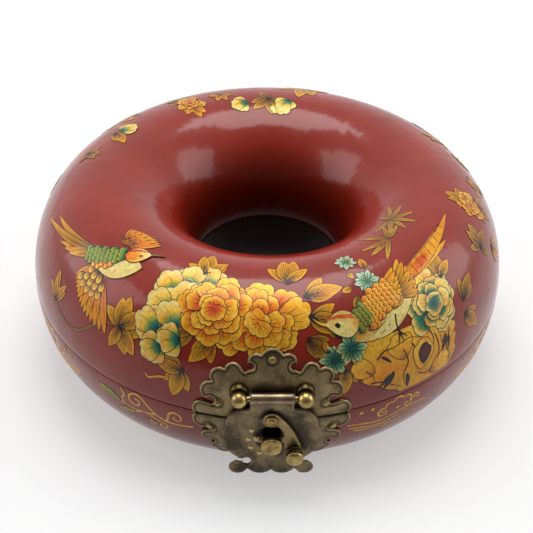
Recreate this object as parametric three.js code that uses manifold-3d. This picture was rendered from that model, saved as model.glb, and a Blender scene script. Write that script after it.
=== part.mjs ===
// Ring-shaped lacquer jewelry box with a brass hasp lock, in millimetres, +Z up.
// It stands on z = 0 with the lock towards -Y and the hinge towards +Y.
import * as THREE from "three";
import Module from "manifold-3d";
import { mergeVertices } from "three/addons/utils/BufferGeometryUtils.js";

const wasm = await Module();
wasm.setup();

// Ring body: two hollow halves that meet at the seam
const ringRadius = 120; // outside of the ring at the seam
const boreRadius = 37.5; // hole through the middle at the seam
const crownRadius = 78; // top line of the lid
const lidRise = 51; // crown above the lid's edge
const seamHeight = 44; // top of the base above the table
const footOuter = 90; // flat foot on the underside
const footInner = 62;
const wall = 5;
const floorWall = 6;
const seamGap = 0.4;
const lidFullness = 2.15; // exponents of the section's superellipses
const lidBoreFullness = 2;
const baseFullness = 2;

// Locating rims glued inside the base, which the lid drops over
const rimThickness = 2.5;
const rimDepth = 8; // below the seam
const rimStand = 5; // above the seam

// Brass fittings in general
const seat = 0.3; // gap between pieces that touch
const plateThickness = 0.9; // plates that lie on the lacquer
const plateTop = seat + plateThickness;
const nailHeadRadius = 1.6;
const nailHeadHeight = 0.9;
const nailShankRadius = 0.7;
const nailLength = 4.2;

// Lock plate: a round plate with a lobed edge, split by the seam
const plateDisc = 27.3;
const plateTilt = THREE.MathUtils.degToRad(22); // lean of the outline, so that it lies square to the face
const plateReach = 42;
const plateLobes = [
  [31.3, 5, 4.3], [25.5, 3.5, 4.7], [27.2, 15, 4.6], [23.1, 22, 4.3],
  [17, 24.9, 3.9], [7, 29.1, 3.8], [0, 29.6, 5.6],
];
const plateNotches = [[27, 9.9, 1.8], [9.6, 27, 1.6]];
const upperNails = [[0, 30.5], [-24, 7.8], [24, 7.8]];
const lowerNails = [[-28, 6.4], [28, 6.4]];

// Hasp hinge: two posts on the upper plate carry the pin
const pinHeight = 15.7; // above the seam
const pinStand = 3.4; // out of the ring's widest point
const pinRadius = 1.2;
const pinClearance = 0.3;
const postSpread = 14.6; // middle of each post beside the lock's centre line
const postRadius = 4.3;
const postShoulder = 3.4; // stand of the step below the head
const postHeadRadius = 3.7;
const postTop = 6.3;
const postShankRadius = 1.6;
const shankDepth = 8.4; // inner end of the post shanks, inwards of the ring's widest point
const knuckleRadius = 2.5;
const knuckleHalf = 9.8;

// Hasp: a heart-shaped plate that hangs on the pin
const haspBack = 2; // stand of its back
const haspThickness = 1.2;
const haspHalfWidth = 22.8;
const haspHalfHeight = 17.6;
const haspMiddle = -8.4;
const haspShoulders = [[11.2, -1, 9.7]];
const tailLobes = [[15.3, -28, 4.1], [10.4, -27.4, 2], [5, -25.6, 6.6]];
const tailNotches = [[11.2, -23.9, 2]];
const tailSlot = [11.2, -23.9, 22, -21.6, 1.8];
const stapleWindow = [0, -9.6, 7.3]; // hole of the hasp round the staple

// Staple post on the base, with a window that the latch's tongue passes
const stapleHeight = -10.2;
const stapleNeckRadius = 4.1;
const stapleHeadRadius = 4.85;
const stapleShoulder = 6.2;
const stapleRim = 7.9;
const stapleTop = 9;
const stapleShankDepth = 6.2;
const windowHalf = 2.3;
const windowMiddle = -9.5;
const windowClearance = 0.4; // in front of and behind the tongue

// Latch: a turning arm on the hasp with a tongue that goes through the staple
const pivotHeight = 3.3;
const armThickness = 1.2;
const armBack = haspBack + haspThickness + seat;
const armHeadRadius = 4.2;
const tongueRadius = 13; // about the pivot
const tongueHalf = 1.5;
const tongueFrom = THREE.MathUtils.degToRad(-120);
const tongueTo = THREE.MathUtils.degToRad(-55);
const rivetRadius = 1.3;
const rivetHeadRadius = 2.85;
const rivetRim = 0.75;
const rivetDome = 1.2;
const knobAt = [10.4, -16];
const bladeOuter = [[2.2, 6.8], [6, 2.6], [9.4, -2.8], [12, -8.8], [14.1, -14.6]];
const bladeInner = [[6.9, -15], [5.7, -10.9], [5.6, -5.5], [2.7, 0.2], [0, 1]];
const knobBossRadius = 4.1;
const knobShankRadius = 1.5;
const knobCollarRadius = 3.9;
const knobNeckRadius = 2.9;
const knobHeadRadius = 4.05;
const knobCollarHeight = 1.05;
const knobNeckHeight = 1.7;
const knobHeadHeight = 2.3;
const knobDome = 1.1;

// Lid hinge at the back
const barrelRadius = 2.4;
const hingePinRadius = 1.2;
const hingePinHead = 1.9;
const hingePinHeadLength = 1;
const barrelClearance = 0.3;
const knuckleCount = 5;
const knuckleLength = 7;
const knuckleGap = 0.4;
const leafDisc = 20;
const leafLobes = 5;
const leafLobeRadius = 5;
const leafLobeReach = 19;
const leafRelief = 3; // height over which each leaf is cut back beside the other's knuckles
const strapLength = 5;
const leafNails = [[0, 19], [-14, 9], [14, 9]];

// Fineness of the curves
const ringSteps = 48;
const arcSteps = 6;
const faceSteps = 48;
const turnSteps = 16;
const smallSteps = 10;
const slabColumn = 4.8; // half the width of a slab's grid cell
const slabRow = 6.6;

const lidZ = seamHeight + seamGap;
const redLacquer = new THREE.MeshStandardMaterial({ color: 0x7a231d, roughness: 0.22, metalness: 0 });
const blackLacquer = new THREE.MeshStandardMaterial({ color: 0x14100f, roughness: 0.3, metalness: 0 });
const agedBrass = new THREE.MeshStandardMaterial({ color: 0xa3864f, roughness: 0.42, metalness: 1 });

// Quarter of a superellipse from (edge, 0) to (level, height).
function quarter(edge, level, height, fullness, steps = arcSteps) {
  return Array.from({ length: steps + 1 }, (_, i) => {
    const turn = (Math.PI / 2) * (i / steps);
    const across = Math.cos(turn) ** (2 / fullness);
    const up = Math.sin(turn) ** (2 / fullness);
    return new THREE.Vector2(level + (edge - level) * across, height * up);
  });
}

// Lid section from its outer edge over the crown to the edge at the bore.
function lidSection(inset) {
  const outer = quarter(ringRadius - inset, crownRadius, lidRise - inset, lidFullness);
  const bore = quarter(boreRadius + inset, crownRadius, lidRise - inset, lidBoreFullness);
  return [...outer, ...bore.reverse().slice(1)];
}

// Base section from its outer edge under the foot to the edge at the bore.
function baseSection(inset, depth) {
  const outer = quarter(ringRadius - inset, footOuter, -depth, baseFullness);
  const bore = quarter(boreRadius + inset, footInner, -depth, baseFullness);
  return [...outer, ...bore.reverse()];
}

// Closed manifold solid of a three.js geometry.
function solidOf(geometry) {
  const bare = geometry.index ? geometry.toNonIndexed() : geometry.clone();
  bare.deleteAttribute("normal");
  bare.deleteAttribute("uv");
  const merged = mergeVertices(bare, 1e-3);
  const vertProperties = new Float32Array(merged.attributes.position.array);
  const corners = [];
  for (let i = 0; i < merged.index.count; i += 3) {
    const [a, b, c] = [0, 1, 2].map((k) => merged.index.getX(i + k));
    if (a !== b && b !== c && c !== a) corners.push(a, b, c);
  }
  const build = (list) => {
    const triVerts = new Uint32Array(list);
    return new wasm.Manifold(new wasm.Mesh({ numProp: 3, vertProperties, triVerts }));
  };
  const solid = build(corners);
  return solid.volume() < 0 ? build(corners.reverse()) : solid;
}

function geometryOf(solid) {
  const { vertProperties, triVerts } = solid.getMesh();
  const geometry = new THREE.BufferGeometry();
  geometry.setAttribute("position", new THREE.BufferAttribute(vertProperties, 3));
  geometry.setIndex(new THREE.BufferAttribute(triVerts, 1));
  geometry.computeVertexNormals();
  return geometry;
}

function join(geometries) {
  return geometries.map(solidOf).reduce((all, next) => all.add(next));
}

function cut(solid, geometries) {
  return geometries.map(solidOf).reduce((left, next) => left.subtract(next), solid);
}

// Solid of revolution about Z.
function ring(points, steps = ringSteps) {
  return new THREE.LatheGeometry([...points, points[0]], steps).rotateX(Math.PI / 2);
}

// Turned piece about a line that stands out of the front: its outline is a list of [radius, stand].
function turned(outline, x, height, steps = turnSteps) {
  const points = outline.map(([radius, stand]) => new THREE.Vector2(radius, -stand));
  return new THREE.LatheGeometry(points, steps).translate(x, -ringRadius, seamHeight + height);
}

// Outline points of a dome from its rim to the axis.
function dome(radius, stand, height, steps = 3) {
  return Array.from({ length: steps + 1 }, (_, i) => {
    const turn = (Math.PI / 2) * (i / steps);
    return [i === steps ? 0 : radius * Math.cos(turn), stand + height * Math.sin(turn)];
  });
}

// Rod from one stand to another, square to the front.
function rod(radius, from, to, x, height, steps = smallSteps) {
  return turned([[0, from], [radius, from], [radius, to], [0, to]], x, height, steps);
}

// Rod along X.
function crossRod(radius, from, to, y, z, steps = smallSteps) {
  const length = to - from;
  return new THREE.CylinderGeometry(radius, radius, length, steps)
    .rotateZ(Math.PI / 2)
    .translate((from + to) / 2, y, z);
}

// Flat piece that stands parallel to the front: geometries in the X and height plane, depth outwards.
function flat(shape, back, thickness, curveSegments = 8) {
  const options = { depth: thickness, bevelEnabled: false, curveSegments };
  return new THREE.ExtrudeGeometry(shape, options)
    .rotateX(Math.PI / 2)
    .translate(0, -(ringRadius + back), seamHeight);
}

function disc(x, y, radiusX, radiusY = radiusX) {
  return new THREE.Shape().absellipse(x, y, radiusX, radiusY, 0, Math.PI * 2);
}

// Straight slot between two points.
function slot(x0, y0, x1, y1, width) {
  const along = new THREE.Vector2(x1 - x0, y1 - y0).normalize().multiplyScalar(width / 2);
  return new THREE.Shape([
    new THREE.Vector2(x0 - along.y, y0 + along.x),
    new THREE.Vector2(x0 + along.y, y0 - along.x),
    new THREE.Vector2(x1 + along.y, y1 - along.x),
    new THREE.Vector2(x1 - along.y, y1 + along.x),
  ]);
}

function mirrored(list) {
  return list.flatMap(([x, ...rest]) => (x ? [[x, ...rest], [-x, ...rest]] : [[x, ...rest]]));
}

// Curve of a half's outer face from the seam onwards, with distances along it and outward normals.
function faceCurve(level, rise, fullness, edgeZ) {
  const points = quarter(ringRadius, level, rise, fullness, faceSteps);
  let along = 0;
  return points.map((point, i) => {
    const before = points[Math.max(i - 1, 0)];
    const after = points[Math.min(i + 1, faceSteps)];
    const tangent = after.clone().sub(before).normalize();
    const normal = new THREE.Vector2(Math.abs(tangent.y), Math.sign(rise) * Math.abs(tangent.x));
    along += i ? point.distanceTo(before) : 0;
    return { along, point: new THREE.Vector2(point.x, edgeZ + point.y), normal };
  });
}

const lidFace = faceCurve(crownRadius, lidRise, lidFullness, lidZ);
const baseFace = faceCurve(footOuter, -seamHeight, baseFullness, seamHeight);

// Point of a face: across is measured round the ring, along from the seam, out from the lacquer.
function onFace(face, across, along, out) {
  const found = face.findIndex((entry) => entry.along >= along);
  const i = found < 1 ? (found ? face.length - 1 : 1) : found;
  const [a, b] = [face[i - 1], face[i]];
  const share = (along - a.along) / (b.along - a.along);
  const normal = a.normal.clone().lerp(b.normal, share).normalize();
  const point = a.point.clone().lerp(b.point, share).addScaledVector(normal, out);
  const turn = across / ringRadius;
  return new THREE.Vector3(point.x * Math.sin(turn), -point.x * Math.cos(turn), point.y);
}

// Frame of a nail on a face: its own -Y points out of the lacquer.
function nailFrame(face, across, along) {
  const foot = onFace(face, across, along, 0);
  const normal = onFace(face, across, along, 1).sub(foot).normalize();
  const turn = new THREE.Quaternion().setFromUnitVectors(new THREE.Vector3(0, -1, 0), normal);
  return new THREE.Matrix4().compose(foot, turn, new THREE.Vector3(1, 1, 1));
}

const halfTurn = new THREE.Matrix4().makeRotationZ(Math.PI);

function nailHoles(face, places, atBack) {
  const depth = nailLength - plateTop + seat;
  const reach = plateTop + seat;
  return places.map(([across, along]) => {
    const hole = new THREE.CylinderGeometry(nailShankRadius + seat, nailShankRadius + seat, depth + reach, 8)
      .translate(0, (depth - reach) / 2, 0)
      .applyMatrix4(nailFrame(face, across, along));
    return atBack ? hole.applyMatrix4(halfTurn) : hole;
  });
}

function nail() {
  const head = plateTop + seat;
  const inner = plateTop - nailLength;
  const outline = [
    [0, inner], [nailShankRadius, inner], [nailShankRadius, head],
    ...dome(nailHeadRadius, head, nailHeadHeight),
  ];
  return new THREE.LatheGeometry(outline.map(([radius, stand]) => new THREE.Vector2(radius, -stand)), 8);
}

// Slab that follows a face of the ring, before its outline is cut.
function curvedSlab(face, halfWidth, reach) {
  const columns = Math.ceil(halfWidth / slabColumn);
  const rows = Math.ceil(reach / slabRow);
  const slab = new THREE.BoxGeometry(2 * halfWidth, reach, plateThickness, columns, rows, 1);
  const place = slab.attributes.position;
  for (let i = 0; i < place.count; i++) {
    const along = place.getY(i) + reach / 2;
    const out = place.getZ(i) + seat + plateThickness / 2;
    place.setXYZ(i, ...onFace(face, place.getX(i), along, out).toArray());
  }
  return solidOf(slab);
}

// Ring's outer face pushed out by an offset, as a body that cuts what sits on the lacquer.
function envelope(offset) {
  const outward = ({ point, normal }) => point.clone().addScaledVector(normal, offset);
  const points = [...baseFace.map(outward).reverse(), ...lidFace.map(outward)];
  const middle = [points.at(-1), points[0]].map((point) => new THREE.Vector2(boreRadius, point.y));
  return ring([...points, ...middle]);
}

// Prism over an outline in a plane that leans with the face; side is 1 on the lid and -1 on the base.
function leaningPrism(shapes, side, curveSegments) {
  const depth = 2 * plateReach;
  const prisms = shapes.map((shape) =>
    new THREE.ExtrudeGeometry(shape, { depth, bevelEnabled: false, curveSegments })
      .translate(0, 0, -depth / 2)
      .rotateX(Math.PI / 2 - side * plateTilt)
      .translate(0, -ringRadius, seamHeight),
  );
  return join(prisms);
}

// Outline lists have their heights counted away from the seam, so the base's are turned over.
function sided(list, side) {
  return list.map(([x, height, ...rest]) => [x, side * height, ...rest]);
}

function lockPlate(face, side, nails) {
  const lobes = sided(mirrored(plateLobes), side).map((lobe) => disc(...lobe));
  const holes = sided(mirrored(plateNotches), side).map((notch) => disc(...notch));
  const body = leaningPrism([disc(0, 0, plateDisc)], side, 14).add(leaningPrism(lobes, side, 6));
  const outline = body.subtract(leaningPrism(holes, side, 5));
  const slab = curvedSlab(face, plateReach, plateReach).intersect(outline);
  return cut(slab, nailHoles(face, nails, false));
}

function postShank(x, height, radius, depth) {
  return rod(radius, -depth, postShoulder - 1, x, height);
}

const shankHoles = [-postSpread, postSpread].map((x) =>
  postShank(x, pinHeight, postShankRadius + seat, shankDepth + 2),
);
const stapleHole = postShank(0, stapleHeight, postShankRadius + seat, stapleShankDepth + 2);

function lidShell() {
  const inside = lidSection(wall).reverse();
  const shell = solidOf(ring([...lidSection(0), ...inside]).translate(0, 0, lidZ));
  const holes = [...nailHoles(lidFace, upperNails, false), ...nailHoles(lidFace, leafNails, true)];
  return cut(shell, [...shankHoles, ...holes]);
}

function baseShell() {
  const inside = baseSection(wall, seamHeight - floorWall).reverse();
  const shell = solidOf(ring([...baseSection(0, seamHeight), ...inside]).translate(0, 0, seamHeight));
  const holes = [...nailHoles(baseFace, lowerNails, false), ...nailHoles(baseFace, leafNails, true)];
  return cut(shell, [stapleHole, ...holes]);
}

// Radius of a faceted wall at a distance from the seam.
function radiusAt(points, distance) {
  const i = points.findIndex((point) => Math.abs(point.y) >= distance);
  const [a, b] = [points[i - 1], points[i]];
  return a.x + ((distance - Math.abs(a.y)) / Math.abs(b.y - a.y)) * (b.x - a.x);
}

// Hoop against a wall of the base; towards is the sense from the wall to the hollow.
function rim(edge, level, towards) {
  const foot = radiusAt(quarter(edge, level, floorWall - seamHeight, baseFullness), rimDepth);
  const near = foot + towards * seat;
  const far = near + towards * rimThickness;
  const corners = [[near, -rimDepth], [far, -rimDepth], [far, rimStand], [near, rimStand]];
  return ring(corners.map(([radius, z]) => new THREE.Vector2(radius, seamHeight + z)));
}

const onPlate = solidOf(envelope(plateTop + seat));
const pinY = -(ringRadius + pinStand);
const pinZ = seamHeight + pinHeight;
const pinEnd = postSpread;

function hingePost(side) {
  const x = side * postSpread;
  const outline = [
    [0, -shankDepth], [postRadius, -shankDepth], [postRadius, postShoulder],
    [postHeadRadius, postShoulder], ...dome(postHeadRadius, postShoulder + 1, postTop - postShoulder - 1),
  ];
  const body = solidOf(turned(outline, x, pinHeight)).subtract(onPlate);
  const post = body.add(solidOf(postShank(x, pinHeight, postShankRadius, shankDepth)));
  const blind = pinEnd + pinRadius + pinClearance;
  const [from, to] = [Math.min(0, side * blind), Math.max(0, side * blind)];
  const bore = crossRod(pinRadius + pinClearance, from, to, pinY, pinZ);
  return cut(post, [bore]);
}

function hasp() {
  const strapFoot = haspMiddle + haspHalfHeight / 2;
  const shoulders = mirrored(haspShoulders).map((lobe) => disc(...lobe));
  const strap = slot(0, strapFoot, 0, pinHeight, 2 * knuckleHalf);
  const shapes = [disc(0, haspMiddle, haspHalfWidth, haspHalfHeight), strap];
  const tail = mirrored(tailLobes).map((lobe) => disc(...lobe));
  const knuckle = crossRod(knuckleRadius, -knuckleHalf, knuckleHalf, pinY, pinZ, turnSteps);
  const body = join([
    ...shapes.map((shape) => flat(shape, haspBack, haspThickness, 20)),
    ...[...shoulders, ...tail].map((shape) => flat(shape, haspBack, haspThickness, 9)),
    knuckle,
  ]);
  const [x0, y0, x1, y1, width] = tailSlot;
  const opened = [
    ...mirrored(tailNotches).map((notch) => disc(...notch)),
    ...[1, -1].map((hand) => slot(hand * x0, y0, hand * x1, y1, width)),
    disc(...stapleWindow),
    disc(0, pivotHeight, rivetRadius + seat),
  ];
  const back = haspBack - seat;
  const holes = opened.map((shape) => flat(shape, back, haspThickness + 2 * seat, 7));
  const bore = crossRod(pinRadius + pinClearance, -ringRadius / 4, ringRadius / 4, pinY, pinZ);
  return cut(body, [...holes, bore]);
}

function staplePost() {
  const outline = [
    [0, -stapleShankDepth], [stapleNeckRadius, -stapleShankDepth], [stapleNeckRadius, stapleShoulder],
    [stapleHeadRadius, stapleShoulder], ...dome(stapleHeadRadius, stapleRim, stapleTop - stapleRim),
  ];
  const body = solidOf(turned(outline, 0, stapleHeight)).subtract(onPlate);
  const post = body.add(solidOf(postShank(0, stapleHeight, postShankRadius, stapleShankDepth)));
  const low = armBack - windowClearance;
  const high = armBack + armThickness + windowClearance;
  const window = new THREE.BoxGeometry(4 * stapleHeadRadius, high - low, 2 * windowHalf)
    .translate(0, -(ringRadius + (low + high) / 2), seamHeight + windowMiddle);
  return cut(post, [window]);
}

// Blade of the latch arm between the pivot and the knob.
function armBlade() {
  const blade = new THREE.Shape();
  const [outer, inner] = [bladeOuter, bladeInner].map((side) => side.map((p) => new THREE.Vector2(...p)));
  blade.moveTo(outer[0].x, outer[0].y);
  blade.splineThru(outer.slice(1));
  blade.lineTo(inner[0].x, inner[0].y);
  blade.splineThru(inner.slice(1));
  blade.closePath();
  return blade;
}

// Curved tongue on a circle about the pivot, with a round tip.
function tongue() {
  const shape = new THREE.Shape();
  const tip = [
    tongueRadius * Math.cos(tongueFrom),
    pivotHeight + tongueRadius * Math.sin(tongueFrom),
  ];
  shape.absarc(0, pivotHeight, tongueRadius + tongueHalf, tongueTo, tongueFrom, true);
  shape.absarc(0, pivotHeight, tongueRadius - tongueHalf, tongueFrom, tongueTo, false);
  shape.closePath();
  return [shape, disc(...tip, tongueHalf)];
}

function latchArm() {
  const rounds = [disc(0, pivotHeight, armHeadRadius), disc(...knobAt, knobBossRadius), ...tongue()];
  const holes = [disc(0, pivotHeight, rivetRadius + seat), disc(...knobAt, knobShankRadius + seat)];
  const blade = flat(armBlade(), armBack, armThickness, 3);
  return cut(
    join([blade, ...rounds.map((shape) => flat(shape, armBack, armThickness, 7))]),
    holes.map((shape) => flat(shape, armBack - seat, armThickness + 2 * seat, 6)),
  );
}

function latchRivet() {
  const head = armBack + armThickness + seat / 2;
  return turned([
    [0, haspBack], [rivetRadius, haspBack], [rivetRadius, head],
    [rivetHeadRadius, head], ...dome(rivetHeadRadius, head + rivetRim, rivetDome),
  ], 0, pivotHeight, 16);
}

const knobSeat = armBack + armThickness + seat / 2;
const knobHeadFoot = knobSeat + knobCollarHeight + knobNeckHeight;
const knobTop = knobHeadFoot + knobHeadHeight + knobDome;

function latchKnob() {
  const [x, height] = knobAt;
  return turned([
    [0, armBack + 0.1], [knobShankRadius, armBack + 0.1], [knobShankRadius, knobSeat],
    [knobCollarRadius, knobSeat], [knobCollarRadius, knobSeat + knobCollarHeight],
    [knobNeckRadius, knobSeat + knobCollarHeight], [knobNeckRadius, knobHeadFoot],
    [knobHeadRadius, knobHeadFoot + 0.3], ...dome(knobHeadRadius, knobHeadFoot + knobHeadHeight, knobDome),
  ], x, height, 18);
}

// Rear hinge, drawn as at the front and turned round with its group
const barrelY = -(ringRadius + barrelRadius + seat);
const knuckleStep = knuckleLength + knuckleGap;
const barrelHalf = (knuckleCount * knuckleStep - knuckleGap) / 2;

// Knuckles of one leaf: the base has the even ones and the lid the odd ones.
function knucklePlaces(first) {
  const places = [];
  for (let i = first; i < knuckleCount; i += 2) places.push(i * knuckleStep - barrelHalf);
  return places;
}

function hingeLeaf(face, side, first) {
  const lobes = Array.from({ length: leafLobes }, (_, i) => {
    const turn = (Math.PI * (i + 0.5)) / leafLobes;
    return disc(leafLobeReach * Math.cos(turn), side * leafLobeReach * Math.sin(turn), leafLobeRadius);
  });
  const outline = leaningPrism([disc(0, 0, leafDisc)], side, 12).add(leaningPrism(lobes, side, 6));
  const reach = leafLobeReach + 2 * leafLobeRadius;
  const leaf = curvedSlab(face, reach, reach).intersect(outline);
  const reliefs = knucklePlaces(1 - first).map((x) => new THREE.BoxGeometry(
    knuckleLength + 2 * knuckleGap, 4 * barrelRadius, 2 * leafRelief)
    .translate(x + knuckleLength / 2, barrelY, seamHeight));
  const strapFoot = barrelY + barrelRadius - plateThickness;
  const straps = knucklePlaces(first).map((x) => new THREE.BoxGeometry(
    knuckleLength, wall, strapLength)
    .translate(x + knuckleLength / 2, strapFoot + wall / 2, seamHeight + (side * strapLength) / 2));
  const barrels = knucklePlaces(first).map((x) =>
    crossRod(barrelRadius, x, x + knuckleLength, barrelY, seamHeight, smallSteps));
  const fitted = join(straps).subtract(solidOf(envelope(seat)));
  const whole = cut(leaf, reliefs).add(fitted).add(join(barrels));
  const boreHalf = ringRadius / 2;
  const bore = crossRod(hingePinRadius + barrelClearance, -boreHalf, boreHalf, barrelY, seamHeight);
  return cut(whole, [bore, ...nailHoles(face, leafNails, false)]);
}

function hingePin() {
  const head = barrelHalf + seat;
  const end = head + hingePinHeadLength;
  const shank = crossRod(hingePinRadius, -end, end, barrelY, seamHeight);
  const heads = [-end, head].map((from) =>
    crossRod(hingePinHead, from, from + hingePinHeadLength, barrelY, seamHeight));
  return join([shank, ...heads]);
}

const box = new THREE.Group();
const back = new THREE.Group();
back.rotation.z = Math.PI;
box.add(back);

function addPiece(name, shape, material, parent = box) {
  const solid = shape.isBufferGeometry ? solidOf(shape) : shape;
  const mesh = new THREE.Mesh(geometryOf(solid), material);
  mesh.name = name;
  parent.add(mesh);
  return mesh;
}

function addNails(name, face, places, parent) {
  places.forEach(([across, along], i) => {
    const mesh = addPiece(`${name}_${i + 1}`, nail(), agedBrass, parent);
    mesh.applyMatrix4(nailFrame(face, across, along));
  });
}

addPiece("base_shell", baseShell(), redLacquer);
addPiece("lid_shell", lidShell(), redLacquer);
addPiece("outer_locating_rim", rim(ringRadius - wall, footOuter, -1), blackLacquer);
addPiece("inner_locating_rim", rim(boreRadius + wall, footInner, 1), blackLacquer);

addPiece("lock_plate_upper", cut(lockPlate(lidFace, 1, upperNails), shankHoles), agedBrass);
addPiece("lock_plate_lower", cut(lockPlate(baseFace, -1, lowerNails), [stapleHole]), agedBrass);
addNails("upper_plate_nail", lidFace, upperNails, box);
addNails("lower_plate_nail", baseFace, lowerNails, box);

addPiece("hinge_post_left", hingePost(-1), agedBrass);
addPiece("hinge_post_right", hingePost(1), agedBrass);
addPiece("hasp_pin", crossRod(pinRadius, -pinEnd, pinEnd, pinY, pinZ), agedBrass);
addPiece("hasp", hasp(), agedBrass);
addPiece("staple_post", staplePost(), agedBrass);
addPiece("latch_rivet", latchRivet(), agedBrass);
addPiece("latch_arm", latchArm(), agedBrass);
addPiece("latch_knob", latchKnob(), agedBrass);

addPiece("hinge_leaf_lid", hingeLeaf(lidFace, 1, 1), agedBrass, back);
addPiece("hinge_leaf_base", hingeLeaf(baseFace, -1, 0), agedBrass, back);
addPiece("hinge_pin", hingePin(), agedBrass, back);
addNails("lid_hinge_nail", lidFace, leafNails, back);
addNails("base_hinge_nail", baseFace, leafNails, back);

// The origin lies under the middle of the whole box, between the knob's face and the hinge barrel.
box.position.y = (knobTop - 2 * barrelRadius - seat) / 2;

export default box;
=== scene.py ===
import bisect
import math
import random
import bmesh
import bpy
from mathutils import Matrix, Quaternion, Vector, kdtree, noise


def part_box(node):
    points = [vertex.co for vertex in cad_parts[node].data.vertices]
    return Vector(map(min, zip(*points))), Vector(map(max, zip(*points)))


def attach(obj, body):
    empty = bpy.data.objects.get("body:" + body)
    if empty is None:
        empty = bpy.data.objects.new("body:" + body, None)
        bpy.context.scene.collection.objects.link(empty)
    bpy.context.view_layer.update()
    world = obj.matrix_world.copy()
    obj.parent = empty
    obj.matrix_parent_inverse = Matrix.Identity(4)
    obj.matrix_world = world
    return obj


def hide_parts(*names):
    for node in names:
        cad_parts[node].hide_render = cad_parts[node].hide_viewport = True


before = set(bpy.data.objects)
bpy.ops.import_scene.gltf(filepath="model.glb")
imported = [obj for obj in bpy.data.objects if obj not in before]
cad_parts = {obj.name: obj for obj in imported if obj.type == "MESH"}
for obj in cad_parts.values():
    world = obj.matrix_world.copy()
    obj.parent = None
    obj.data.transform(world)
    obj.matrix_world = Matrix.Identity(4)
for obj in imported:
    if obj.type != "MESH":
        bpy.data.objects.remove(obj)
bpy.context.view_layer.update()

# Lid and base: turned wooden shells under a thick red lacquer, black inside. Each section is
# spun round the ring's axis; the outside is a superellipse on either side of the crown, and
# the two halves meet at a fine seam with softened edges.
mm = 0.001
lid_low, lid_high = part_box("lid_shell")
base_low, base_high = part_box("base_shell")
ring_axis = Vector(((lid_low.x + lid_high.x) / 2, (lid_low.y + lid_high.y) / 2, 0))
ring_radius = (lid_high.x - lid_low.x) / 2
bore_radius = 37.5 * mm
crown_radius = 78 * mm
foot_outer = 90 * mm
foot_inner = 62 * mm
shell_wall = 5 * mm
floor_wall = 6 * mm
lid_rise = lid_high.z - lid_low.z
base_depth = base_high.z - base_low.z
lid_fullness = 2.15
lid_bore_fullness = 2
base_fullness = 2
section_steps = 26
ring_steps = 168
seam_softness = 0.35 * mm


def quarter(edge, level, height, fullness, steps=section_steps):
    """Points of a quarter superellipse from (edge, 0) to (level, height)."""
    points = []
    for i in range(steps + 1):
        turn = math.pi / 2 * i / steps
        across = max(math.cos(turn), 0) ** (2 / fullness)
        up = math.sin(turn) ** (2 / fullness)
        points.append((level + (edge - level) * across, height * up))
    return points


def lid_section(inset):
    outer = quarter(ring_radius - inset, crown_radius, lid_rise - inset, lid_fullness)
    bore = quarter(bore_radius + inset, crown_radius, lid_rise - inset, lid_bore_fullness)
    return outer + bore[::-1][1:]


def base_section(inset, floor):
    depth = floor - base_depth
    outer = quarter(ring_radius - inset, foot_outer, depth, base_fullness)
    bore = quarter(bore_radius + inset, foot_inner, depth, base_fullness)
    return outer + bore[::-1]


def spin_line(bm, points, centre, axis, steps):
    """Spins a chain of points a full turn round an axis."""
    verts = [bm.verts.new(point) for point in points]
    edges = [bm.edges.new(pair) for pair in zip(verts, verts[1:])]
    bmesh.ops.spin(bm, geom=verts + edges, cent=centre, axis=axis, angle=2 * math.pi, steps=steps,
                   use_merge=True)


def spin_chain(bm, chain, base_z, material):
    """Spins a chain of (radius, height) points round the ring's axis, all in one material."""
    before = set(bm.faces)
    spin_line(bm, [(0, -radius, base_z + height) for radius, height in chain], (0, 0, 0), (0, 0, 1),
              ring_steps)
    for face in set(bm.faces) - before:
        face.material_index = material


def add_piece(name, bm, body, slot, *materials):
    """Makes a bmesh a smooth piece that rides on a body."""
    mesh = bpy.data.meshes.new(name)
    bm.to_mesh(mesh)
    bm.free()
    piece = bpy.data.objects.new(name, mesh)
    bpy.context.scene.collection.objects.link(piece)
    for material in materials:
        mesh.materials.append(material)
    mesh.polygons.foreach_set("use_smooth", [True] * len(mesh.polygons))
    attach(piece, body)
    return piece


def add_bevel(piece, width, angle=40):
    bevel = piece.modifiers.new("soft edges", "BEVEL")
    bevel.width = width
    bevel.segments = 3
    bevel.limit_method = "ANGLE"
    bevel.angle_limit = math.radians(angle)


def feed(tree, node, *given, **named):
    """Sets a node's inputs, in order or by their names, to values or to the sockets that feed them.
    A name that starts small is a setting of the node."""
    inputs = list(enumerate(given))
    for name, value in named.items():
        if name[0].islower():
            setattr(node, name, value)
        else:
            inputs.append((name.replace("_", " "), value))
    for key, value in inputs:
        if isinstance(value, bpy.types.NodeSocket):
            tree.links.new(value, node.inputs[key])
        else:
            node.inputs[key].default_value = value
    return node


def add_node(tree, kind, *given, **named):
    return feed(tree, tree.nodes.new("ShaderNode" + kind), *given, **named)


def new_material(name):
    material = bpy.data.materials.new(name)
    material.use_nodes = True
    return material, material.node_tree, material.node_tree.nodes["Principled BSDF"]


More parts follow.
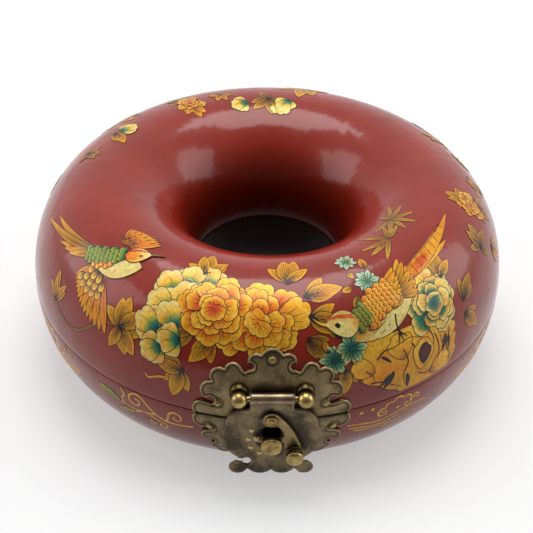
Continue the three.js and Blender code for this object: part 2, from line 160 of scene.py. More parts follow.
def red_lacquer():
    """Deep red coats, cloudy, darkened into the bore as painted shade, under a clear wavy gloss that thins
    there.
    """
    material, tree, shader = new_material("red lacquer")
    place = add_node(tree, "TexCoord").outputs["Object"]
    cloud = add_node(tree, "TexNoise", Vector=place, Scale=22, Detail=6, Roughness=0.55)
    tone = add_node(tree, "ValToRGB", Fac=cloud.outputs["Fac"])
    dark_stop, light_stop = tone.color_ramp.elements
    dark_stop.position, dark_stop.color = 0.3, (0.225, 0.0135, 0.0050, 1)
    light_stop.position, light_stop.color = 0.72, (0.32, 0.021, 0.0080, 1)
    # Painted shade: the red darkens towards the bore wall, to 0.3 of its colour at the wall.
    centred = add_node(tree, "Mapping", Vector=place, Location=-ring_axis, Scale=(1, 1, 0))
    reach = add_node(tree, "VectorMath", centred.outputs["Vector"], operation="LENGTH").outputs["Value"]
    deep = add_node(tree, "MapRange", Value=reach, From_Min=bore_radius - 1 * mm,
                    From_Max=bore_radius + 15 * mm, To_Min=0.3, interpolation_type="SMOOTHSTEP")
    bore_shaded = add_node(tree, "VectorMath", tone.outputs["Color"], Scale=deep.outputs["Result"],
                      operation="SCALE")
    smear = add_node(tree, "TexNoise", Vector=place, Scale=60, Detail=3)
    dull = add_node(tree, "MapRange", Value=smear.outputs["Fac"], To_Min=0.22, To_Max=0.36)
    wave = add_node(tree, "TexNoise", Vector=place, Scale=80, Detail=2)
    bump = add_node(tree, "Bump", Strength=0.5, Distance=0.8 * mm, Height=wave.outputs["Fac"])
    coat = add_node(tree, "MapRange", Value=reach, From_Min=bore_radius + 1 * mm,
                    From_Max=bore_radius + 14 * mm, To_Min=0.08, To_Max=0.6)
    feed(tree, shader, Base_Color=bore_shaded.outputs["Vector"], Roughness=dull.outputs["Result"],
         Normal=bump.outputs["Normal"], Coat_Normal=bump.outputs["Normal"], Specular_IOR_Level=0.1,
         Coat_Weight=coat.outputs["Result"], Coat_Roughness=0.14)
    return material


def new_group(name, inputs, outputs):
    """Shader group with named sockets, between its own input and output nodes."""
    group = bpy.data.node_groups.new(name, "ShaderNodeTree")
    for side, sockets in (("INPUT", inputs), ("OUTPUT", outputs)):
        for label, kind in sockets:
            group.interface.new_socket(label, in_out=side, socket_type="NodeSocket" + kind)
    return group, group.nodes.new("NodeGroupInput").outputs, group.nodes.new("NodeGroupOutput")


def brushed_coat():
    """Brush marks that cloud a dark coat's colour and gloss."""
    group, given, made = new_group("brushed coat", (("Dark", "Color"), ("Light", "Color")),
                                   (("Colour", "Color"), ("Roughness", "Float")))
    place = add_node(group, "TexCoord").outputs["Object"]
    brush = add_node(group, "TexNoise", Vector=place, Scale=90, Detail=4).outputs["Fac"]
    tone = add_node(group, "Mix", data_type="RGBA", Factor=brush, A=given["Dark"], B=given["Light"])
    dull = add_node(group, "MapRange", Value=brush, To_Min=0.25, To_Max=0.42)
    feed(group, made, Colour=tone.outputs["Result"], Roughness=dull.outputs["Result"])
    return group


coat_marks = brushed_coat()


def black_lacquer(name, dark, light, shine):
    material, tree, shader = new_material(name)
    marks = add_node(tree, "Group", node_tree=coat_marks, Dark=(*dark, 1), Light=(*light, 1))
    feed(tree, shader, Base_Color=marks.outputs["Colour"], Roughness=marks.outputs["Roughness"],
         Specular_IOR_Level=shine)
    return material


red = red_lacquer()
black = black_lacquer("black lacquer", (0.006, 0.0035, 0.003), (0.018, 0.010, 0.008), 0.3)
# Painted shade: the base's bore is a brown black that stands for the shadow in the hole, with little shine.
bore_shade_black = black_lacquer("brown black bore", (0.008, 0.0018, 0.001), (0.028, 0.0055, 0.003), 0.03)


def add_shell(name, node, body, outside, inside, edge_z, black_from=None):
    """Red outside, black inside, and from a point of the outside's section on a brown black bore that is
    painted shade.
    """
    bm = bmesh.new()
    black_from = black_from or len(outside) - 1
    spin_chain(bm, outside[:black_from + 1], edge_z, 0)
    if black_from < len(outside) - 1:
        spin_chain(bm, outside[black_from:], edge_z, 2)
    spin_chain(bm, inside, edge_z, 1)
    for end in (0, -1):
        spin_chain(bm, [outside[end], inside[end]], edge_z, 0)
    bmesh.ops.remove_doubles(bm, verts=bm.verts, dist=0.001 * mm)
    bmesh.ops.recalc_face_normals(bm, faces=bm.faces)
    bmesh.ops.translate(bm, verts=bm.verts, vec=ring_axis)
    piece = add_piece(name, bm, body, "red_lacquer", red, black, bore_shade_black)
    add_bevel(piece, seam_softness)
    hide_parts(node)


add_shell("lid_lacquer_shell", "lid_shell", "lid", lid_section(0), lid_section(shell_wall), lid_low.z)
add_shell("base_lacquer_shell", "base_shell", "base", base_section(0, 0),
          base_section(shell_wall, floor_wall), base_high.z, section_steps)

# Lock plates: the two halves of one lobed brass plate, cut from sheet, embossed and bent to the
# ring. A thin bead runs along the edge and curls round the notches between the lobes, and the
# brass is dark in its hollows, darker along the seam, rubbed bright on its edges and darkened
# under the hasp with painted shade.
plate_seat = 0.3
plate_thickness = 0.9
plate_tilt = math.radians(22)  # lean of the drawn outline against the upright
plate_lobes = ((0, 0, 27.3), (31.3, 5, 4.3), (25.5, 3.5, 4.7), (27.2, 15, 4.6), (23.1, 22, 4.3),
               (17, 24.9, 3.9), (7, 29.1, 3.8), (0, 29.6, 5.6))
lower_lobe = (21.6, 26.2, 3.3)
upper_notches = ((27, 9.9, 1.8), (9.6, 27, 1.6))
lower_notches = ((27.1, 18.9, 1.7), (9.6, 27, 1.6))
plate_columns = 300
plate_rows = 56
longest_reach = 42
bead_height = 0.26
bead_width = 0.3


def patina_group():
    """Stained, rubbed and finely scratched metal: a tone shift above zero rubs it bright; below zero it
    darkens, as patina in hollows and as painted shade.
    """
    group, given, made = new_group(
        "patina", (("Dark", "Color"), ("Bright", "Color"), ("Worn", "Float"), ("Roughness", "Float")),
        (("Colour", "Color"), ("Roughness", "Float"), ("Height", "Float")))
    place = add_node(group, "TexCoord").outputs["Object"]
    stain = add_node(group, "TexNoise", Vector=place, Scale=160, Detail=8, Roughness=0.62)
    rubbed = add_node(group, "Math", stain.outputs["Fac"], given["Worn"], operation="ADD")
    share = add_node(group, "MapRange", Value=rubbed.outputs["Value"], From_Min=0.35, From_Max=0.68)
    tone = add_node(group, "Mix", data_type="RGBA", Factor=share.outputs["Result"], A=given["Dark"],
                    B=given["Bright"])
    hollow = add_node(group, "MapRange", Value=given["Worn"], From_Min=-1, From_Max=0, To_Min=0.04)
    patina_and_shade_tone = add_node(group, "VectorMath", tone.outputs["Result"], Scale=hollow.outputs["Result"],
                         operation="SCALE")
    grain = add_node(group, "TexNoise", Vector=place, Scale=900, Detail=4).outputs["Fac"]
    centred = add_node(group, "MapRange", Value=grain, To_Min=-0.08, To_Max=0.14)
    dull = add_node(group, "Math", centred.outputs["Result"], given["Roughness"], operation="ADD")
    dents = add_node(group, "TexNoise", Vector=place, Scale=130, Detail=1)
    deep = add_node(group, "Math", dents.outputs["Fac"], 5, grain, operation="MULTIPLY_ADD")
    feed(group, made, Colour=patina_and_shade_tone.outputs["Vector"], Roughness=dull.outputs["Value"],
         Height=deep.outputs["Value"])
    return group


patina = patina_group()


def brass_material(name, dark, bright, roughness, rubbed=True):
    """Brass under the patina; the piece's own tone attribute rubs it bright, darkens its hollows and paints
    shade on it.
    """
    material, tree, shader = new_material(name)
    surface = add_node(tree, "Group", node_tree=patina, Dark=(*dark, 1), Bright=(*bright, 1),
                       Roughness=roughness)
    if rubbed:
        worn = add_node(tree, "Attribute", attribute_name="worn")
        feed(tree, surface, Worn=worn.outputs["Fac"])
    bump = add_node(tree, "Bump", Strength=0.35, Distance=0.06 * mm, Height=surface.outputs["Height"])
    feed(tree, shader, Base_Color=surface.outputs["Colour"], Roughness=surface.outputs["Roughness"],
         Normal=bump.outputs["Normal"], Metallic=0.9)
    return material


plate_brass = brass_material("aged plate brass", (0.085, 0.064, 0.036), (0.27, 0.195, 0.092), 0.4)


def face_line(section, edge_z, side):
    """A half's outside from the seam on: distances, then radius, height and outward direction."""
    distances, entries, along = [], [], 0
    for i, (radius, height) in enumerate(section):
        before, after = section[max(i - 1, 0)], section[min(i + 1, len(section) - 1)]
        along += math.dist(before, (radius, height)) if i else 0
        tangent = Vector((after[0] - before[0], after[1] - before[1])).normalized()
        distances.append(along)
        entries.append(Vector((radius, edge_z + height, side * tangent.y, -side * tangent.x)))
    return distances, entries, side


def entry_at(face, along):
    """Radius, height and outward direction of a half's outside at a distance from the seam."""
    distances, entries, side = face
    i = min(max(bisect.bisect(distances, along), 1), len(distances) - 1)
    return entries[i - 1].lerp(entries[i], (along - distances[i - 1]) / (distances[i] - distances[i - 1]))


def stand_out(entry, turn, lift):
    """Point over the ring at an angle from the lock."""
    reach = entry[0] + entry[2] * lift
    return ring_axis + Vector((reach * math.sin(turn), -reach * math.cos(turn), entry[1] + entry[3] * lift))


lid_outside = quarter(ring_radius, crown_radius, lid_rise, lid_fullness, 90)
lid_bore = quarter(bore_radius, crown_radius, lid_rise, lid_bore_fullness, 90)
lid_face = face_line(lid_outside + lid_bore[::-1][1:], lid_low.z, 1)
base_face = face_line(quarter(ring_radius, foot_outer, -base_depth, base_fullness, 90), base_high.z, -1)


def in_outline(x, v, lobes, notches):
    """Whether a place in the drawing, in millimetres, is on the plate."""
    inside = any(math.dist((abs(x), v), (a, b)) <= radius for a, b, radius in lobes)
    return inside and all(math.dist((abs(x), v), (a, b)) > radius for a, b, radius in notches)


def edge_tree(points):
    """Search tree over the points of an edge, in millimetres."""
    tree = kdtree.KDTree(len(points))
    for k, (x, v) in enumerate(points):
        tree.insert((x, v, 0), k)
    tree.balance()
    return tree


def filled_in(points, step=0.15):
    """Points along a chain of points, a small step apart."""
    filled = []
    for (x0, v0), (x1, v1) in zip(points, points[1:]):
        count = max(1, math.ceil(math.dist((x0, v0), (x1, v1)) / step))
        filled += [(x0 + (x1 - x0) * i / count, v0 + (v1 - v0) * i / count) for i in range(count)]
    return filled + [points[-1]]


def circle_points(x, v, radius, count=48):
    turns = [2 * math.pi * i / count for i in range(count)]
    return [(x + radius * math.cos(turn), v + radius * math.sin(turn)) for turn in turns]


def drawn_height(entry, x):
    """Height in the leaning plane of a plate's drawn outline, in metres."""
    inward = ring_radius - math.sqrt(entry[0] ** 2 - x * x)
    return inward * math.sin(plate_tilt) + abs(entry[1] - base_high.z) * math.cos(plate_tilt)


def place_on(face, x, v):
    """Entry and angle of a half's outside for a place in a plate's drawn outline, in metres."""
    near, far = 0, 60 * mm
    for _ in range(16):
        middle = (near + far) / 2
        if drawn_height(entry_at(face, middle), x) < v:
            near = middle
        else:
            far = middle
    entry = entry_at(face, near)
    return entry, math.asin(x / entry[0])


def cut_hole(bm, corners):
    """Cuts a convex hole into a flat sheet along the lines between its corners."""
    corners = [Vector((x, v, 0)) for x, v in corners]
    middle = sum(corners, Vector()) / len(corners)
    size = max((corner - middle).length for corner in corners)
    upward = Vector((0, 0, 1))
    sides = [((b - a).cross(upward).normalized(), a) for a, b in zip(corners, corners[1:] + corners[:1])]
    near = [face for face in bm.faces if (face.calc_center_median() - middle).length < size + 2.5]
    geometry = list({part for face in near for part in (*face.verts, *face.edges, face)})
    for outward, corner in sides:
        geometry = bmesh.ops.bisect_plane(bm, geom=geometry, dist=0.001, plane_co=corner,
                                          plane_no=outward)["geom"]
    hole = [face for face in bm.faces
            if all((face.calc_center_median() - corner).dot(outward) < 0 for outward, corner in sides)]
    bmesh.ops.delete(bm, geom=hole, context="FACES")


def sharp_rims(bm):
    for edge in bm.edges:
        edge.smooth = not edge.is_boundary


def thicken(piece, thickness):
    """Gives a sheet its thickness, behind the face that shows."""
    sheet = piece.modifiers.new("sheet", "SOLIDIFY")
    sheet.thickness = thickness
    sheet.offset = -1
    return sheet


def lock_plate(node, body, face, lobes, notches, nails, hasp_shade):
    """Half of the lock plate: a sheet cut to the lobed outline, embossed and bent to the ring."""
    bm = bmesh.new()
    worn = bm.verts.layers.float.new("worn")
    sheet = bmesh.ops.create_grid(bm, x_segments=plate_columns, y_segments=plate_rows, size=0.5)["verts"]
    edge = entry_at(face, 0)

    def spot(turn, reach):
        x = reach * math.sin(turn)
        return x, reach * math.cos(turn) + drawn_height(edge, x * mm) / mm

    reaches = []
    for column in range(plate_columns + 1):
        turn, reach = math.pi * (column / plate_columns - 0.5), longest_reach
        while not in_outline(*spot(turn, reach), lobes, notches):
            reach -= 0.05
        reaches.append(reach)
    rim = [spot(math.pi * (i / plate_columns - 0.5), reach) for i, reach in enumerate(reaches)]
    notch_rims = [point for x, v, radius in notches for hand in (1, -1)
                  for point in circle_points(hand * x, v, radius) if in_outline(*point, lobes, ())]
    tree = edge_tree(filled_in(rim) + notch_rims)
    for vert in sheet:
        column = round((vert.co.x + 0.5) * plate_columns)
        reach = reaches[column] * (1 - (0.5 - vert.co.y) ** 1.6)
        x, v = spot(math.pi * vert.co.x, reach)
        vert.co = (x * face[2], v, 0)
    for x, v, radius in notches:
        for hand in (1, -1):
            cut_hole(bm, circle_points(hand * x, v, radius, 14))
    bmesh.ops.remove_doubles(bm, verts=bm.verts, dist=0.01)
    for vert in bm.verts:
        x, v = vert.co.xy
        depth = tree.find((x * face[2], v, 0))[2]
        bead = math.exp(-((depth - 0.6) / bead_width) ** 2)
        curl = max(math.exp(-((math.dist((abs(x), v), (a, b)) - radius - reach) / bead_width) ** 2) * part
                   for a, b, radius in notches for reach, part in ((2.2, 0.8), (3.6, 0.5)))
        curl *= 1 - math.exp(-(depth / 1.6) ** 2)
        groove = math.exp(-((depth - 1.35) / 0.36) ** 2)
        edge_fall = math.exp(-(depth / 0.2) ** 2)
        seam_fall = math.exp(-((v - drawn_height(edge, x * mm) / mm) / 0.45) ** 2)
        wave = noise.noise(Vector((x, v, 7)) * 0.16) * 0.2 + noise.noise(Vector((x, v, 3)) * 0.5) * 0.06
        entry, turn = place_on(face, x * mm, v * mm)
        place = stand_out(entry, turn, 0)
        ring = sum(math.exp(-(((place - nail).length / mm - 2.7) / 0.4) ** 2) for nail in nails)
        stand = plate_seat + plate_thickness + bead_height * (bead + curl) - 0.3 * edge_fall + wave
        stand -= 0.12 * groove + 0.2 * ring + 0.35 * seam_fall
        # Rubbed bright on the bead and curl, dark as patina in the groove and nail rings, darker at the seam,
        # and darkened by painted shade under the hasp.
        vert[worn] = 0.3 * bead + 0.2 * curl - 0.45 * groove - 0.35 * ring - 0.75 * seam_fall - hasp_shade(x, v)
        vert.co = stand_out(entry, turn, stand * mm)
    sharp_rims(bm)
    piece = add_piece("brass_" + node, bm, body, "aged_brass", plate_brass)
    thicken(piece, (plate_thickness - 0.1) * mm)
    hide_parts(node)


def nail_places(*nodes):
    return [sum(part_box(node), Vector()) / 2 for node in nodes]


# The last argument is painted shade under the hasp: on the upper plate below the pin, on the lower plate
# round the staple behind the hasp's window.
lock_plate("lock_plate_upper", "lid", lid_face, plate_lobes, upper_notches,
           nail_places("upper_plate_nail_1", "upper_plate_nail_2", "upper_plate_nail_3"),
           lambda x, v: 0.5 * math.exp(-(math.hypot(x * 0.8, v - 9) / 9) ** 4))
lock_plate("lock_plate_lower", "base", base_face, (*plate_lobes, lower_lobe), lower_notches,
           nail_places("lower_plate_nail_1", "lower_plate_nail_2"),
           lambda x, v: math.exp(-(math.hypot(x, v - 9.5) / 9.2) ** 6))

# Hinge posts: two posts turned from brass rod, each with a foot, a thin neck and a ball. They are
# riveted through the upper lock plate and hold the ends of the hasp's pin.
pin_stand, pin_height, post_spread = 3.4, 15.7, 14.6
turned_brass = brass_material("rubbed brass", (0.11, 0.074, 0.024), (0.47, 0.33, 0.12), 0.24)


def turned_piece(name, body, outline, x, height, shade=None, steps=40):
    """Turned fitting: an outline of (radius, stand) spun round a line that stands out of the front.
    A shade gives its tone at each stand: rubbed bright above zero, darkened as painted shade below it."""
    bm = bmesh.new()
    worn = bm.verts.layers.float.new("worn")
    z = base_high.z + height * mm
    front = ring_axis.y - ring_radius
    spin_line(bm, [((x + radius) * mm, front - stand * mm, z) for radius, stand in outline],
              (x * mm, 0, z), (0, 1, 0), steps)
    bmesh.ops.remove_doubles(bm, verts=bm.verts, dist=0.002 * mm)
    bmesh.ops.recalc_face_normals(bm, faces=bm.faces)
    if shade:
        for vert in bm.verts:
            vert[worn] = shade((front - vert.co.y) / mm)
    piece = add_piece(name, bm, body, "aged_brass", turned_brass)
    add_bevel(piece, 0.22 * mm, 42)
    return piece


def dome(radius, stand, height, start=0, steps=10):
    """Outline of a ball or dome, from an angle below or at its widest ring to its top."""
    turns = [math.radians(start + (90 - start) * i / steps) for i in range(steps)]
    points = [(radius * max(math.cos(turn), 0), stand + height * math.sin(turn)) for turn in turns]
    return points + [(0, stand + height)]


# Painted shade on the hinge posts: darker at the foot, darkest in the thin neck under the ball, and the
# ball's front a little brighter.
def post_shade(stand):
    return -0.45 if stand < 1.3 else -0.75 if stand < 2 else -0.1 if stand < 3 else 0.1


post_outline = [(0, -3), (4.35, -3), (4.35, 0.9), (3.9, 1.5), (2.9, 1.6)] + dome(3.75, 4.3, 3.75, -42)
for node, hand in (("hinge_post_left", -1), ("hinge_post_right", 1)):
    post = turned_piece("brass_" + node, "lid", post_outline, hand * post_spread, pin_height, post_shade)
    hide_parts(node)

# Latch rivet and knob: both turned from brass rod. The rivet holds the latch arm to the hasp, and
# the waisted knob at the arm's free end is what the finger turns.
rivet_outline = [(0, 2.2), (1.3, 2.2), (1.3, 4.8), (2.9, 4.8)] + dome(2.9, 5.5, 1.7)
rivet = turned_piece("brass_latch_rivet", "hasp", rivet_outline, 0, 3.3)
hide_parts("latch_rivet")
knob_outline = [(0, 3.7), (1.5, 3.7), (1.5, 4.85), (3.95, 4.85), (3.95, 5.7), (3.3, 6.1), (2.85, 6.6),
                (2.85, 7.2), (3.5, 7.6), (3.95, 8.2), (4.05, 8.9)] + dome(4.05, 9.3, 1.7)
# The knob's tone is painted shade: darker on its collar and darkest in the waist under its head.
knob = turned_piece("brass_latch_knob", "latch", knob_outline, 10.4, -16,
                    lambda stand: -0.3 if stand < 6 else -0.7 if stand < 7.3 else 0.08)
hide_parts("latch_knob")

# Staple head, tongue tip and studs: low brass domes on the lock's face. The head closes the staple
# that comes through the hasp, the tip ends the latch's tongue, and four studs mark the hasp.
# The staple head's rim below its dome is darkened as painted shade.
turned_piece("brass_staple_head", "base", [(0, 6.3), (4.3, 6.3), (4.92, 6.7), (4.92, 7.7)]
             + dome(4.92, 7.9, 1.25), 0, -10.2, lambda stand: -0.5 if stand < 6.5 else 0.05)
turned_piece("brass_tongue_tip", "latch", [(0, 4.5), (1.6, 4.5)] + dome(1.6, 4.75, 0.8), -6.5, -7.96,
             steps=24)
stud_outline = [(0, 3), (1.25, 3)] + dome(1.25, 3.2, 0.6)
for k, (x, height) in enumerate(((-8.8, -4.2), (-10.3, -9.6), (-9.2, -14.8), (-5.4, -18.3))):
    turned_piece("brass_hasp_stud_%d" % (k + 1), "hasp", stud_outline, x, height, lambda stand: 0.3, 20)

# Lock plate nails: five small round-headed brass nails that hold the two plates to the wood, each
# driven square to the lacquer.
nail_outline = [(0, 0.8), (1.5, 0.8), (1.5, 1.45)] + dome(1.5, 1.5, 0.75, 0, 6)


def add_nail(node, body, face, across, along):
    bm = bmesh.new()
    spin_line(bm, [(radius * mm, 0, stand * mm) for radius, stand in nail_outline], (0, 0, 0), (0, 0, 1), 24)
    bmesh.ops.remove_doubles(bm, verts=bm.verts, dist=0.002 * mm)
    bmesh.ops.recalc_face_normals(bm, faces=bm.faces)
    entry, turn = entry_at(face, along * mm), across * mm / ring_radius
    foot, tip = stand_out(entry, turn, 0), stand_out(entry, turn, mm)
    upright = (tip - foot).to_track_quat("Z", "Y").to_matrix().to_4x4()
    bmesh.ops.transform(bm, matrix=Matrix.Translation(foot) @ upright, verts=bm.verts)
    piece = add_piece("brass_" + node, bm, body, "aged_brass", turned_brass)
    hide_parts(node)


for node, body, face, across, along in (
        ("upper_plate_nail_1", "lid", lid_face, 0, 30.5), ("upper_plate_nail_2", "lid", lid_face, -24, 7.8),
        ("upper_plate_nail_3", "lid", lid_face, 24, 7.8), ("lower_plate_nail_1", "base", base_face, -28, 6.4),
        ("lower_plate_nail_2", "base", base_face, 28, 6.4)):
    add_nail(node, body, face, across, along)

# Hasp knuckle: the top edge of the hasp's sheet, rolled into a tube round the pin between the two
# posts, and rubbed smooth by the swing.
knuckle_radius, knuckle_half, knuckle_bore = 2.6, 9.9, 1.7
rolled_brass = brass_material("rolled brass", (0.10, 0.072, 0.046), (0.30, 0.215, 0.135), 0.26)
knuckle_axis = (0, ring_axis.y - ring_radius - pin_stand * mm, base_high.z + pin_height * mm)
left_end = [(-knuckle_half, knuckle_bore), (-knuckle_half, knuckle_radius - 0.3),
            (-knuckle_half + 0.3, knuckle_radius)]
between = [(-knuckle_half + 0.3 + (2 * knuckle_half - 0.6) * i / 12, knuckle_radius) for i in range(1, 12)]
right_end = [(-x, radius) for x, radius in left_end[::-1]]
knuckle_mesh = bmesh.new()
spin_line(knuckle_mesh, [(x * mm, knuckle_axis[1], knuckle_axis[2] + radius * mm)
                         for x, radius in left_end + between + right_end], knuckle_axis, (1, 0, 0), 40)
bmesh.ops.recalc_face_normals(knuckle_mesh, faces=knuckle_mesh.faces)
add_piece("brass_hasp_knuckle", knuckle_mesh, "hasp", "aged_brass", rolled_brass)

# Hasp: a heart-shaped brass sheet, softly domed, with a round window for the staple, a lobed tail
# and a slot beside each of the tail's notches. It is darker than the plates, with painted shadow
# along the latch's arm and above its pivot.
hasp_back, hasp_thickness = 2, 1.2
hasp_middle = (0, -9.6)  # middle of its window
window_radius = 7.3
hasp_lobes = ((11.2, -1, 9.7), (15.3, -28, 4.1), (10.4, -27.4, 2), (5, -25.6, 6.6))
tail_notch = (11.2, -23.9, 2)
tail_slot = ((11.2, -24.8), (24, -22.2), (24, -20.4), (11.2, -23))
hasp_columns = 220
hasp_rows = 30
arm_edge = ((2.2, 6.8), (6, 2.6), (9.4, -2.8), (12, -8.8), (14.1, -14.6))
hasp_tones = ((0.060, 0.048, 0.032), (0.20, 0.150, 0.080), 0.42)
hasp_brass = brass_material("darkened hasp brass", *hasp_tones)
# The back takes plain brass, without the rubbing or the painted shadow of the front.
back_brass = brass_material("unrubbed hasp back", *hasp_tones, False)


def in_hasp(x, v):
    if math.hypot(x / 22.8, (v + 8.4) / 17.6) <= 1 or (abs(x) <= 9.8 and 0 <= v <= pin_height - 0.5):
        return True
    return any(math.dist((abs(x), v), (a, b)) <= radius for a, b, radius in hasp_lobes)


def hasp_spot(turn, reach):
    return hasp_middle[0] + reach * math.sin(turn), hasp_middle[1] + reach * math.cos(turn)


def shape_hasp(bm):
    """Bends a grid round the window, cuts the tail, then domes and shades the sheet."""
    worn = bm.verts.layers.float.new("worn")
    sheet = bmesh.ops.create_grid(bm, x_segments=hasp_columns, y_segments=hasp_rows, size=0.5)["verts"]
    reaches = []
    for column in range(hasp_columns + 1):
        turn, reach = 2 * math.pi * column / hasp_columns, 40
        while not in_hasp(*hasp_spot(turn, reach)):
            reach -= 0.05
        reaches.append(reach)
    for vert in sheet:
        column, share = round((vert.co.x + 0.5) * hasp_columns), vert.co.y + 0.5
        share = 0.5 - 0.5 * math.cos(math.pi * share)
        reach = window_radius + (reaches[column] - window_radius) * share
        vert.co = (*hasp_spot(2 * math.pi * (vert.co.x + 0.5), reach), 0)
    bmesh.ops.remove_doubles(bm, verts=bm.verts, dist=0.01)
    for hand in (1, -1):
        cut_hole(bm, circle_points(hand * tail_notch[0], tail_notch[1], tail_notch[2], 14))
        cut_hole(bm, [(hand * x, v) for x, v in tail_slot][::hand])
    tree = edge_tree([tuple(vert.co.xy) for vert in bm.verts if vert.is_boundary])
    arm_tree = edge_tree(filled_in(arm_edge))
    front = ring_axis.y - ring_radius
    for vert in bm.verts:
        x, v = vert.co.xy
        depth = tree.find((x, v, 0))[2]
        round_off = 0.55 * math.exp(-(depth / 0.45) ** 2)
        wave = 0.14 * noise.noise(Vector((x, v, 5)) * 0.13) + 0.05 * noise.noise(Vector((x, v, 9)) * 0.45)
        stand = hasp_back + hasp_thickness - round_off + wave
        # Painted shadow: dark along the arm's outer edge, and in a crescent above the arm's pivot.
        if x > 1:
            arm_shadow = math.exp(-(arm_tree.find((x, v, 0))[2] / 1.9) ** 4)
        else:
            arm_shadow = math.exp(-((math.hypot(x, v - 3.3) - 4.6) / 1.2) ** 2) * (v > 3.3)
        rub = 0.3 * noise.noise(Vector((x, v, 1)) * 0.12) + 0.1 * noise.noise(Vector((x, v, 2)) * 0.6)
        vert[worn] = rub - 0.45 * arm_shadow + 0.12 * math.exp(-((depth - 0.7) / 0.5) ** 2)
        vert.co = (x * mm, front - stand * mm, base_high.z + v * mm)
    bmesh.ops.recalc_face_normals(bm, faces=bm.faces)
    if sum(face.normal.y for face in bm.faces) > 0:
        bmesh.ops.reverse_faces(bm, faces=bm.faces)
    sharp_rims(bm)


hasp_mesh = bmesh.new()
shape_hasp(hasp_mesh)
hasp_piece = add_piece("brass_hasp", hasp_mesh, "hasp", "aged_brass", hasp_brass, back_brass)
thicken(hasp_piece, (hasp_thickness - 0.5) * mm).material_offset = 1
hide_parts("hasp")


# Latch arm, staple, pins and rear hinge: plain brass fittings that the solids already give in full.
# Each is a copy with its edges softened, as on castings that were filed and polished by hand.
def add_brass(node, body, material, bevel_width, wear_and_shade):
    bm = bmesh.new()
    bm.from_mesh(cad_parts[node].data)
    worn = bm.verts.layers.float.new("worn")
    bmesh.ops.remove_doubles(bm, verts=bm.verts, dist=0.002 * mm)
    bmesh.ops.dissolve_limit(bm, angle_limit=math.radians(1), verts=bm.verts, edges=bm.edges)
    for vert in bm.verts:
        vert[worn] = wear_and_shade
    piece = add_piece("brass_" + node, bm, body, "aged_brass", material)
    add_bevel(piece, bevel_width, 35)
    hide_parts(node)


# The latch arm is rubbed a little bright; the staple post is darkened as painted shade where it stands in the
# hasp's window.
add_brass("latch_arm", "latch", plate_brass, 0.35 * mm, 0.08)
for node, body, wear_and_shade in (("hasp_pin", "lid", 0), ("staple_post", "base", -0.6), ("hinge_pin", "base", 0)):
    add_brass(node, body, turned_brass, 0.2 * mm, wear_and_shade)
for body in ("lid", "base"):
    add_brass("hinge_leaf_" + body, body, plate_brass, 0.2 * mm, 0)
    for k in (1, 2, 3):
        add_brass("%s_hinge_nail_%d" % (body, k), body, turned_brass, 0.2 * mm, 0)

# Latch arm's edge: a fine rounded line along the arm's outer edge, raised in its casting and rubbed
# bright by the finger that turns the latch.
arm_line = bpy.data.curves.new("latch arm edge", "CURVE")
arm_line.dimensions = "3D"
arm_line.bevel_depth = 0.32 * mm
arm_line.bevel_resolution = 3
arm_line.use_fill_caps = True
line = arm_line.splines.new("NURBS")
line.points.add(len(arm_edge) - 1)
for point, (x, height) in zip(line.points, arm_edge):
    point.co = ((x - 0.75) * mm, ring_axis.y - ring_radius - 4.72 * mm, base_high.z + (height - 0.3) * mm, 1)
line.use_endpoint_u = True
line.order_u = 3
line.resolution_u = 8
edge_piece = bpy.data.objects.new("brass_latch_arm_edge", arm_line)
bpy.context.scene.collection.objects.link(edge_piece)
arm_line.materials.append(turned_brass)
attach(edge_piece, "latch")

# Locating rims: two thin wooden hoops in the base, one at the outer wall and one at the bore, that
# stand above the seam and keep the lid in its place. They are lacquered black like the inside.
for node in ("outer_locating_rim", "inner_locating_rim"):
    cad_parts[node].data.materials.clear()
    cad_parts[node].data.materials.append(black)

# Painting: gold, orange, cream and green colours brushed thickly over the red lacquer. Each stroke
# is laid over a slightly wider dark one, so that a fine ink line shows round it, and ink veins go on
# top. The strokes are thin raised sheets that follow the curve of the ring.
first_layer = 0.07 * mm  # stand of the lowest ink above the lacquer
layer_step = 0.05 * mm
ink_margin = 0.36  # millimetres that the ink shows round a stroke
ink_lift = 0.4  # share of a layer between the ink and the colour over it
cell_size = 1.6  # millimetres between the points of a stroke
paint_depth = 0.12 * mm
vein_width = 0.34
painting_turn = -1.45  # degrees between the lock's middle and the painting's

# Each colour ends with its share of metal powder, from 0 for plain colour to 1 for pure gold.
ink = (0.016, 0.012, 0.012, 0)
gold = (0.78, 0.34, 0.008, 0.35)
pale_gold = (0.90, 0.50, 0.045, 0.35)
brown_gold = (0.27, 0.115, 0.010, 0.3)
orange = (0.76, 0.17, 0.008, 0.2)
red_heart = (0.66, 0.045, 0.008, 0.1)
cream = (0.88, 0.72, 0.24, 0.1)
leaf_green = (0.12, 0.27, 0.045, 0)
teal = (0.012, 0.180, 0.115, 0)
deep_teal = (0.005, 0.065, 0.080, 0)
mint = (0.24, 0.54, 0.28, 0)
olive = (0.40, 0.42, 0.05, 0.2)

plain_ink = ((0, ink), (1, ink))
leaf_tones = ((0, (0.10, 0.045, 0.008, 0.2)), (0.22, brown_gold), (0.5, (0.52, 0.25, 0.010, 0.5)), (1, gold))
dark_leaf_tones = ((0, (0.06, 0.035, 0.008, 0.1)), (0.4, brown_gold), (1, (0.56, 0.28, 0.02, 0.5)))


def spot_on(face, azimuth, along, heading=0, hand=1):
    """A motif's own place: degrees round the ring, millimetres from the seam."""
    return face, math.radians(azimuth + painting_turn), along * mm, math.radians(heading), hand


